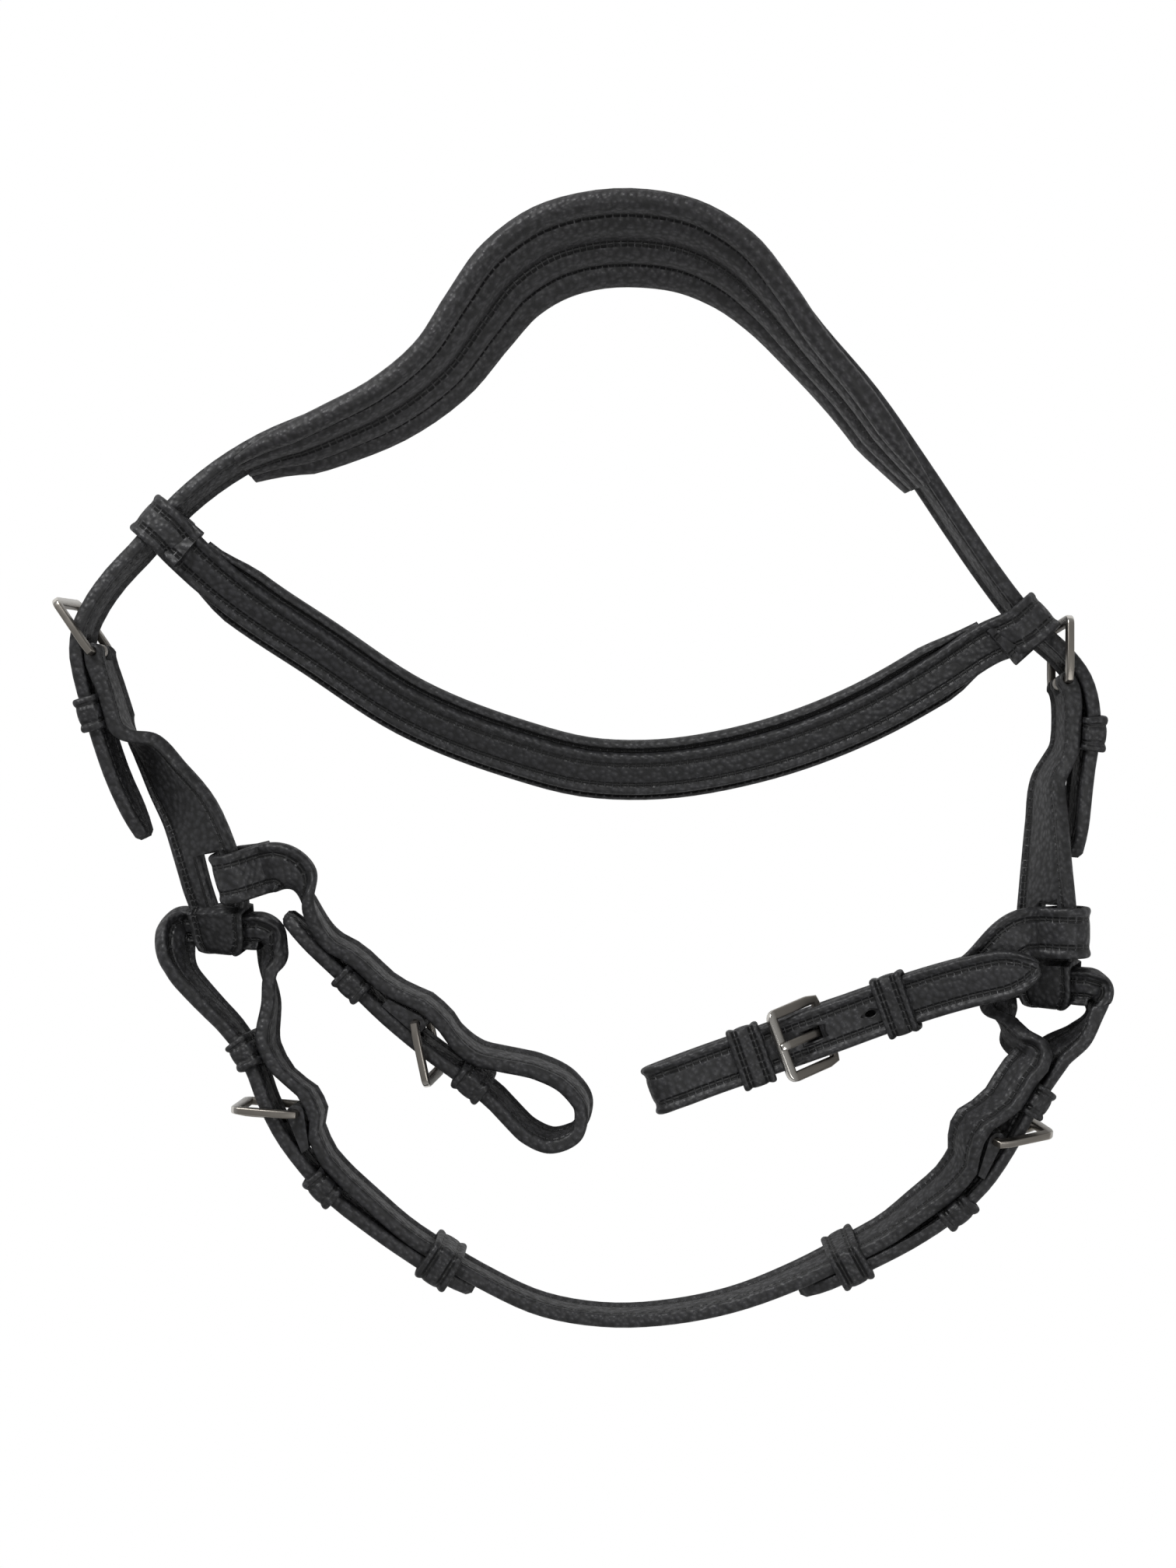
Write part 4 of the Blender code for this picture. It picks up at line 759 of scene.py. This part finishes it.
# The cheeks. Each tab is two layers of the skin, folded round the heel bar of the
# cheek buckle. Below its slot for the bit strap the layers open into a tunnel for
# the noseband, and its edges have the same rolled ridge.
CHEEK_FRAME_LEAN = 34
CHEEK_SLACK = 0.0005
CHEEK_KEEPER_STEP = 0.024
TAB_WIDTH = 0.028
TAB_FOOT_WIDTH = 0.024
TAB_THICKNESS = 0.006
TAB_LAYER = 0.0018
TAB_RAIL = 0.007
SLOT_WIDTH = 0.0095
TAB_HEM = 0.0025
TAB_FOOT_ROUND = 0.011
LOOP_CLEARANCE = 0.0013
SQUEEZE_SHARE = 0.75
TUNNEL_PLAY = 0.0007
TUNNEL_FLARE = 0.004
SQUEEZED_HALF_WIDTH = SQUEEZE_SHARE * HALF_WIDTH
SQUEEZED_HALF_THICKNESS = HALF_THICKNESS / SQUEEZE_SHARE
TUNNEL_HALF = SQUEEZED_HALF_WIDTH + TUNNEL_PLAY
TUNNEL_DEPTH = 2 * (SQUEEZED_HALF_THICKNESS + TUNNEL_PLAY)
UNDER_KEEPER = -(STRAP_THICKNESS + KEEPER_WALL + 2 * KEEPER_PLAY)
TAB_OUTLINE = ridged(TAB_WIDTH / 2)
TAB_SHARES = {
    "left": (
        (-0.424, 0.014, 0.78, 28), (-0.405, -0.013, 0.85, 42), (-0.382, -0.046, 0.95, 56),
        (-0.369, -0.077, 0.98, 63), (-0.36, -0.105, 0.92, 66), (-0.354, -0.136, 0.72, 65),
        (-0.351, -0.168, 0.47, 64),
    ),
    "right": (
        (0.446, -0.014, 0.78, 18), (0.444, -0.053, 0.82, 24), (0.443, -0.094, 0.92, 32),
        (0.443, -0.126, 0.98, 42), (0.443, -0.155, 0.96, 50), (0.445, -0.186, 0.86, 58),
        (0.447, -0.216, 0.66, 62),
    ),
}
# Where the tab's rounded foot has sections, as shares of TAB_FOOT_ROUND from its end
TAB_FOOT_STEPS = (1, 0.85, 0.7, 0.55, 0.45)
# Across its hem: share of TAB_HEM, share of the foot's half width, share of its thickness
TAB_HEM_SHARES = ((0.3, 0.74, 0.9), (0.6, 0.66, 0.72), (0.85, 0.56, 0.52), (1, 0.42, 0.3))
tab_skin = pebbled("pebbled_pvc_tab", ("#262628", "#313133"), (3.6,))


def flat(route, s):
    """Puts a corner near s on a route, as if it ran straight on both ways: along, across, outward."""
    place, tangent, normal, width = route.frame(s)
    return lambda a, b, c: place + (a - s) * tangent + c * normal + b * width


cheeks = {}
for side, way in (("left", -1), ("right", 1)):
    heel_s = HEEL_SHARES[side] * head.length
    turned = buckle(side + "_cheek", head, heel_s, -way, CHEEK_FRAME_LEAN, CHEEK_SLACK)
    keeper_s = heel_s + way * CHEEK_KEEPER_STEP
    keeper(side + "_cheek_band", head, keeper_s, "bridle", side + "_cheek_keeper")
    tongue_hole(headpiece, turned)

    half = TAB_THICKNESS / 2
    far = KEEPER_WIDTH / 2 + KEEPER_PLAY
    dips = [(heel_s + way * FOLD_RADIUS, -HEEL_DEPTH - CHEEK_SLACK)]
    dips += [(keeper_s - way * far, UNDER_KEEPER + HALF_THICKNESS - half)]
    steps = [-FOLD_RADIUS, 0, FOLD_RADIUS, 2 * FOLD_RADIUS]
    steps += [CHEEK_KEEPER_STEP - far, CHEEK_KEEPER_STEP, CHEEK_KEEPER_STEP + far]
    tops = [head.station(s, profile(dips, s)) for s in (heel_s + way * along for along in steps)]
    tab = Route(tops + leaning(TAB_SHARES[side], -1), front=way)
    last = tab.length - TAB_HEM
    tunnel_s = last - TUNNEL_HALF
    slot_s = tunnel_s - TUNNEL_HALF - TAB_HEM - HALF_WIDTH - GAP
    clear_s = slot_s + HALF_WIDTH + LOOP_CLEARANCE
    rows = []
    for turn in (math.radians(angle) for angle in (85, 70, 55, 40, 25, 10)):
        reach = FOLD_RADIUS * math.cos(turn)
        rows.append(section(tab, FOLD_RADIUS * (1 - math.sin(turn)), 0, HALF_WIDTH, reach + GAP / 2))
    widen = [(FOLD_RADIUS, HALF_WIDTH), (slot_s - STRAP_WIDTH, TAB_WIDTH / 2), (slot_s, TAB_WIDTH / 2)]
    widen += [(tunnel_s, TAB_FOOT_WIDTH / 2)]
    opened = TUNNEL_DEPTH / 2 + TAB_LAYER
    thicken = [(2 * FOLD_RADIUS, FOLD_RADIUS), (FOLD_RADIUS + CHEEK_KEEPER_STEP - far, half), (clear_s, half)]
    thicken += [(tunnel_s - TUNNEL_HALF, opened), (tunnel_s + TUNNEL_HALF, opened)]
    marks = [2 * FOLD_RADIUS, clear_s, tunnel_s - TUNNEL_HALF]
    marks += [tab.length - share * TAB_FOOT_ROUND for share in TAB_FOOT_STEPS]
    for s in tab.stops(FOLD_RADIUS, last, marks):
        foot = max(0, 1 - (tab.length - s) / TAB_FOOT_ROUND)
        wide = profile(widen, s) * (0.45 + 0.55 * math.sqrt(1 - foot * foot))
        rows.append(section(tab, s, 0, wide, profile(thicken, s)))
    for along, wide, thick in TAB_HEM_SHARES:
        thick *= profile(thicken, last)
        rows.append(section(tab, last + along * TAB_HEM, 0, wide * TAB_FOOT_WIDTH / 2, thick))
    solid = loft(side + "_tab", rows, tab_skin, TAB_OUTLINE, relief=TAB_THICKNESS / 2)
    bore_for_heel(solid, turned, CHEEK_FRAME_LEAN)
    rail = TAB_WIDTH / 2 - TAB_RAIL
    reach = HALF_WIDTH + 2 * GAP
    slot = [(slot_s - reach, rail - SLOT_WIDTH), (slot_s + reach, rail - SLOT_WIDTH)]
    slot += [(slot_s + reach, rail), (slot_s - reach, rail)]
    cut(solid, prism("slot", slot, -STRAP_WIDTH / 2, STRAP_WIDTH / 2, flat(tab, slot_s)))
    _, along, out, _ = tab.frame(tunnel_s)
    tunnel = []
    for share, flare in ((-1, TUNNEL_FLARE), (-0.3, 0), (0.3, 0), (1, TUNNEL_FLARE)):
        place = tab.place(tunnel_s, 0, share * TAB_WIDTH)
        tunnel.append((place, (TUNNEL_HALF + flare) * along, (TUNNEL_DEPTH / 2 + flare) * out, 0))
    cut(solid, loft("tunnel", tunnel, None, rounded_outline(8, 32)))
    finish_piece(solid, "bridle", "strap_leather", side + "_cheek_tab")
    cheeks[side] = (tab, slot_s, tunnel_s)

# The noseband. One strap, whose two ends go up through the cheek tabs and come back
# down over it as billets, each done up in a buckle that a short folded chape holds.
# Two sewn keepers and a loose runner hold each billet down.
NOSE_FRAME_LEAN = 58
NOSE_SLACK = 0.003
NOSE_UPPER_STEP = 0.030
NOSE_LOWER_STEP = 0.031
NOSE_LEAD = 0.014
CHAPE_LENGTH = 0.015
RUNNER_PLAY = 0.0008
NOSEBAND_SHARES = (
    (0.449, -0.256, 1.0, 32), (0.434, -0.274, 1.0, 36), (0.417, -0.297, 1.02, 38), (0.398, -0.33, 1.02, 35),
    (0.375, -0.364, 0.96, 30), (0.347, -0.391, 0.86, 25), (0.315, -0.413, 0.78, 21),
    (0.265, -0.439, 0.7, 17), (0.205, -0.467, 0.64, 13), (0.146, -0.488, 0.58, 10), (0.084, -0.5, 0.55, 9),
    (0.02, -0.503, 0.55, 8), (-0.05, -0.492, 0.56, 8), (-0.106, -0.468, 0.62, 8), (-0.16, -0.438, 0.67, 8),
    (-0.21, -0.406, 0.71, 8), (-0.245, -0.38, 0.76, 8), (-0.27, -0.354, 0.81, 8), (-0.292, -0.326, 0.84, 8),
    (-0.308, -0.297, 0.83, 8), (-0.319, -0.27, 0.77, 9), (-0.33, -0.25, 0.71, 10),
    (-0.344, -0.233, 0.68, 12),
)
# Heel bar, runner and billet tip of each end, as shares of the strap's run from that end,
# its upper keeper's step from the heel bar as a share of NOSE_UPPER_STEP, and the
# length of billet that is left bare at that end as a share of NOSE_LEAD
NOSE_SHARES = {"left": (0.1, 0.305, 0.345, 1.0, 1.0), "right": (0.096, 0.281, 0.336, 0.7, 0.5)}
STRAND_TO_TAB_SHARES = {
    "left": ((-0.371, -0.207, 0.64, 15), (-0.394, -0.18, 0.62, 22), (-0.399, -0.154, 0.6, 45)),
    "right": ((0.407, -0.236, 0.72, -10), (0.399, -0.214, 0.5, 42)),
}
STRAND_FROM_TAB_SHARES = {
    "left": ((-0.305, -0.162, 0.82, 40), (-0.309, -0.18, 0.72, 14), (-0.306, -0.21, 0.67, -4)),
    "right": ((0.49, -0.206, 1.04, 12), (0.489, -0.221, 1.0, -2), (0.475, -0.239, 0.98, 14)),
}
TIGHT = -(STRAP_THICKNESS + GAP)
UNDER_CHAPE = -(STRAP_THICKNESS + 2 * CHAPE_LAYER + 2 * GAP)
UNDER_HEEL = -(HEEL_DEPTH + FOLD_RADIUS + GAP + HALF_THICKNESS)
nose = Route(leaning(NOSEBAND_SHARES, -1))


def chape(name, route, heel_s, towards, slack, turned, lean, body):
    """A folded piece round the heel bar: two layers, sewn between the billet and the strap under it."""
    top = -(HALF_THICKNESS + GAP)
    outline = [(x * towards, y) for x, y in arc((0, -HEEL_DEPTH - slack), FOLD_RADIUS, -90, 90, 16)]
    outline += [(-towards * CHAPE_LENGTH, top), (-towards * CHAPE_LENGTH, top - 2 * CHAPE_LAYER)]
    half = FRAME_INNER_HALF - RAIL_CLEARANCE - GAP
    solid = prism(name + "_fold", [(heel_s + x, n) for x, n in outline], -half, half, route.place, strap_skin)
    bore_for_heel(solid, turned, lean)
    finish_piece(solid, body, "strap_leather", name + "_chape")


def depth_marks(heel_s, towards, slack, keepers, ends):
    """Where the under strap dips: below each keeper, below the heel bar and at the sewn end of the chape."""
    marks = list(ends)
    for s in keepers:
        marks += [(s - KEEPER_WIDTH / 2, UNDER_KEEPER), (s + KEEPER_WIDTH / 2, UNDER_KEEPER)]
    for along in (towards * FOLD_RADIUS, -towards * FOLD_RADIUS):
        marks.append((heel_s + along, UNDER_HEEL - slack))
    marks.append((heel_s - towards * (CHAPE_LENGTH + GAP), UNDER_CHAPE))
    return marks


def tab_loop(side, end_s, way, base_marks):
    """The noseband's loop through a cheek tab: up one strand, through the tunnel and down the other."""
    tab, _, tunnel_s = cheeks[side]
    width = nose.frame(end_s)[3]
    billet = [(nose.place(end_s - way * back), width) for back in (2 * STRAP_THICKNESS, 0)]
    lead = NOSE_SHARES[side][4] * NOSE_LEAD
    base = []
    for s in (end_s - way * back for back in (lead + 2 * STRAP_THICKNESS, lead)):
        base.append(nose.station(s, profile(base_marks, s)))
    before, after = (billet, base) if way > 0 else (base, billet)
    along = tab.frame(tunnel_s)[1]
    reach = TAB_FOOT_WIDTH / 2 + TAB_HEM / 2
    straight = [(tab.place(tunnel_s, 0, share * reach), -along) for share in (-1.35, -1, -0.8, 0.8, 1, 1.35)]
    rows = []
    for stations, shrink in (
        (before + leaning(STRAND_TO_TAB_SHARES[side], -1) + straight[:3], 1),
        (straight[3:] + leaning(STRAND_FROM_TAB_SHARES[side], -1) + after[::-1], -1),
    ):
        line = Route(stations)
        begin, finish = (line.near(stations[i][0]) for i in (1, -2))
        stops = line.stops(begin, finish)
        tight_s = finish if shrink > 0 else begin
        for s in stops[1:] if shrink > 0 else stops[:-1]:
            near = step(1 - (abs(s - tight_s) - 2 * TAB_HEM) / STRAP_WIDTH)
            wide = HALF_WIDTH + (SQUEEZED_HALF_WIDTH - HALF_WIDTH) * near
            thick = HALF_THICKNESS + (SQUEEZED_HALF_THICKNESS - HALF_THICKNESS) * near
            rows.append(section(line, s, 0, wide, thick))
    return rows


base_marks = []
buckled = {}
for side, way, start in (("left", -1, nose.length), ("right", 1, 0)):
    heel_share, runner_share, tip_share, upper_share, _ = NOSE_SHARES[side]
    name = side + "_noseband"
    heel_s = start + way * heel_share * nose.length
    runner, tip = (start + way * share * nose.length for share in (runner_share, tip_share))
    upper = heel_s - way * upper_share * NOSE_UPPER_STEP
    keepers = {"_upper": upper, "_lower": heel_s + way * NOSE_LOWER_STEP}
    turned = buckle(name, nose, heel_s, -way, NOSE_FRAME_LEAN, NOSE_SLACK)
    chape(name, nose, heel_s, -way, NOSE_SLACK, turned, NOSE_FRAME_LEAN, "bridle")
    for part, s in keepers.items():
        keeper(name + part, nose, s, "bridle", name + part + "_keeper")
    loose = name + "_runner"
    keeper(name + "_loose", nose, runner, loose, loose, TIGHT - HALF_THICKNESS, RUNNER_PLAY)
    ends = [(start, TIGHT), (runner - way * KEEPER_WIDTH, TIGHT)]
    base_marks += depth_marks(heel_s, -way, NOSE_SLACK, keepers.values(), ends)
    buckled[side] = (turned, tip)
rows = tip_sections(nose, buckled["left"][1], 1)
rows += [section(nose, s) for s in nose.stops(buckled["left"][1] + TIP_LENGTH, nose.length)]
rows += tab_loop("left", nose.length, 1, base_marks)
for s in nose.stops(nose.length - NOSE_SHARES["left"][4] * NOSE_LEAD, NOSE_SHARES["right"][4] * NOSE_LEAD):
    rows.append(section(nose, s, profile(base_marks, s), HALF_WIDTH, -HALF_THICKNESS))
rows += tab_loop("right", 0, -1, base_marks)
rows += [section(nose, s) for s in nose.stops(0, buckled["right"][1] - TIP_LENGTH)]
rows += tip_sections(nose, buckled["right"][1], -1)[::-1]
noseband = loft("noseband", rows, strap_skin)
for turned, _ in buckled.values():
    tongue_hole(noseband, turned)
finish_piece(noseband, "bridle", "strap_leather", "noseband_strap")

# The bit straps. Each is sewn round the ridge of its cheek tab, runs out to the loop
# that holds the bit ring, and comes back over itself to its buckle. The left one
# stands on edge and the right one lies face up.
BIT_FRAME_LEAN = 40
BIT_SLACK = 0.0
BIT_LOOP_KEEPER_STEP = 0.031
BIT_TIP_KEEPER_STEP = 0.030
JOIN_SHARE = 1.5
# The one punched hole that shows, beside the right strap's upper keeper
SPARE_HOLE_STEP = 0.0105
SPARE_HOLE_LENGTH = 0.0045
SPARE_HOLE_WIDTH = 0.0028
BIT_SHARES = {
    "left": {
        "heel": 0.61, "merge": 0.2, "base": 0.74, "leaves_at": -16,
        "run": (
            (-0.291, -0.133, 0.88, 10), (-0.262, -0.159, 0.78, 12), (-0.223, -0.193, 0.74, 12),
            (-0.19, -0.222, 0.78, 12), (-0.153, -0.25, 0.82, 12), (-0.107, -0.281, 0.76, 14),
            (-0.087, -0.297, 0.72, 15),
        ),
        "loop": (
            (-0.105, -0.256, 0.74), (-0.079, -0.262, 0.7), (-0.046, -0.269, 0.67), (-0.018, -0.283, 0.66),
            (-0.004, -0.302, 0.66), (-0.01, -0.325, 0.66), (-0.034, -0.334, 0.66), (-0.056, -0.326, 0.66),
            (-0.073, -0.311, 0.68),
        ),
    },
    "right": {
        "heel": 0.6, "merge": 0.2, "base": 0.9, "leaves_at": 42,
        "run": (
            (0.43, -0.178, 2.0, -90), (0.371, -0.19, 1.6, -90), (0.292, -0.214, 1.02, -90),
            (0.231, -0.235, 0.88, -90), (0.164, -0.257, 0.84, -90), (0.109, -0.275, 0.8, -90),
            (0.092, -0.281, 0.8, -90),
        ),
        "loop": (
            (0.078, -0.286, 0.28), (0.069, -0.289, 0.35), (0.0655, -0.29, 0.52), (0.069, -0.289, 0.7),
            (0.077, -0.286, 0.77),
        ),
    },
}
for side, values in BIT_SHARES.items():
    tab, slot_s, _ = cheeks[side]
    out_way = 1 if side == "left" else -1
    name = side + "_bit"
    body = side + "_bit_strap"
    route = Route(leaning(values["run"], 1), front=-1)
    heel_s = values["heel"] * route.length
    keepers = {"_lower": heel_s + BIT_LOOP_KEEPER_STEP, "_upper": heel_s - BIT_TIP_KEEPER_STEP}
    turned = buckle(name, route, heel_s, 1, BIT_FRAME_LEAN, BIT_SLACK)
    chape(name, route, heel_s, 1, BIT_SLACK, turned, BIT_FRAME_LEAN, body)
    for part, s in keepers.items():
        keeper(name + part, route, s, body, name + part + "_keeper")
    merge_s = values["merge"] * route.length
    base_end = values["base"] * route.length
    marks = depth_marks(heel_s, 1, BIT_SLACK, keepers.values(), [(merge_s, TIGHT)])

    _, tangent, normal, width = tab.frame(slot_s)
    rail = tab.place(slot_s, 0, TAB_WIDTH / 2 - TAB_RAIL / 2)
    lean = math.radians(values["leaves_at"])
    up = normal * out_way
    away = math.cos(lean) * out_way * width + math.sin(lean) * up
    lift = math.cos(lean) * up - math.sin(lean) * out_way * width
    across = -out_way * tangent
    skived = SKIVED_THICKNESS / 2
    radius = math.hypot(TAB_RAIL, TAB_THICKNESS) / 2 + LOOP_CLEARANCE + skived
    join = JOIN_SHARE * radius
    touch = math.degrees(math.acos(radius / join))
    path = [(join + HALF_WIDTH / 2, -skived - GAP / 2), (join, -skived - GAP / 2)]
    path += arc((0, 0), radius, -touch, touch - 360, 24) + [(join, skived + GAP / 2)]
    rows = folded(path, rail, away, lift, HALF_WIDTH * across)
    start = rail + join * away + (skived + GAP / 2) * lift
    ahead = rail + (join + HALF_WIDTH / 2) * away + (HALF_THICKNESS + GAP / 2) * lift
    base = [route.station(s, profile(marks, s)) for s in (merge_s, merge_s + HALF_WIDTH)]
    line = Route([(start, across), (ahead, across)] + base, front=-1)
    for s in line.stops(0, line.near(base[0][0]))[1:-1]:
        thick = skived + (HALF_THICKNESS - skived) * step(s / HALF_WIDTH)
        rows.append(section(line, s, 0, HALF_WIDTH, thick))
    rows += [section(route, s, profile(marks, s)) for s in route.stops(merge_s, base_end)]
    end_width = route.frame(route.length)[3]
    turn = [route.station(s, profile(marks, s)) for s in (base_end - KEEPER_WIDTH / 2, base_end)]
    turn += [(np.array(place) * STATION_UNITS, end_width) for place in values["loop"]]
    turn += [(route.place(s), end_width) for s in (route.length, route.length - HALF_WIDTH)]
    line = Route(turn, front=-1)
    rows += [section(line, s) for s in line.stops(*(line.near(turn[i][0]) for i in (1, -2)))[1:-1]]
    rows += [section(route, s, 0, HALF_WIDTH, -HALF_THICKNESS) for s in route.stops(route.length, TIP_LENGTH)]
    rows += tip_sections(route, 0, 1, -1)[::-1]
    solid = loft(name, rows, strap_skin)
    tongue_hole(solid, turned)
    if side == "right":
        hole_s = keepers["_upper"] + SPARE_HOLE_STEP
        circle = arc((0, 0), 0.5, 0, 345, 23)
        oval = [(hole_s + SPARE_HOLE_LENGTH * x, SPARE_HOLE_WIDTH * y) for x, y in circle]
        cut(solid, prism("spare_hole", oval, -STRAP_THICKNESS, STRAP_THICKNESS, flat(route, hole_s)))
    finish_piece(solid, body, "strap_leather", body)
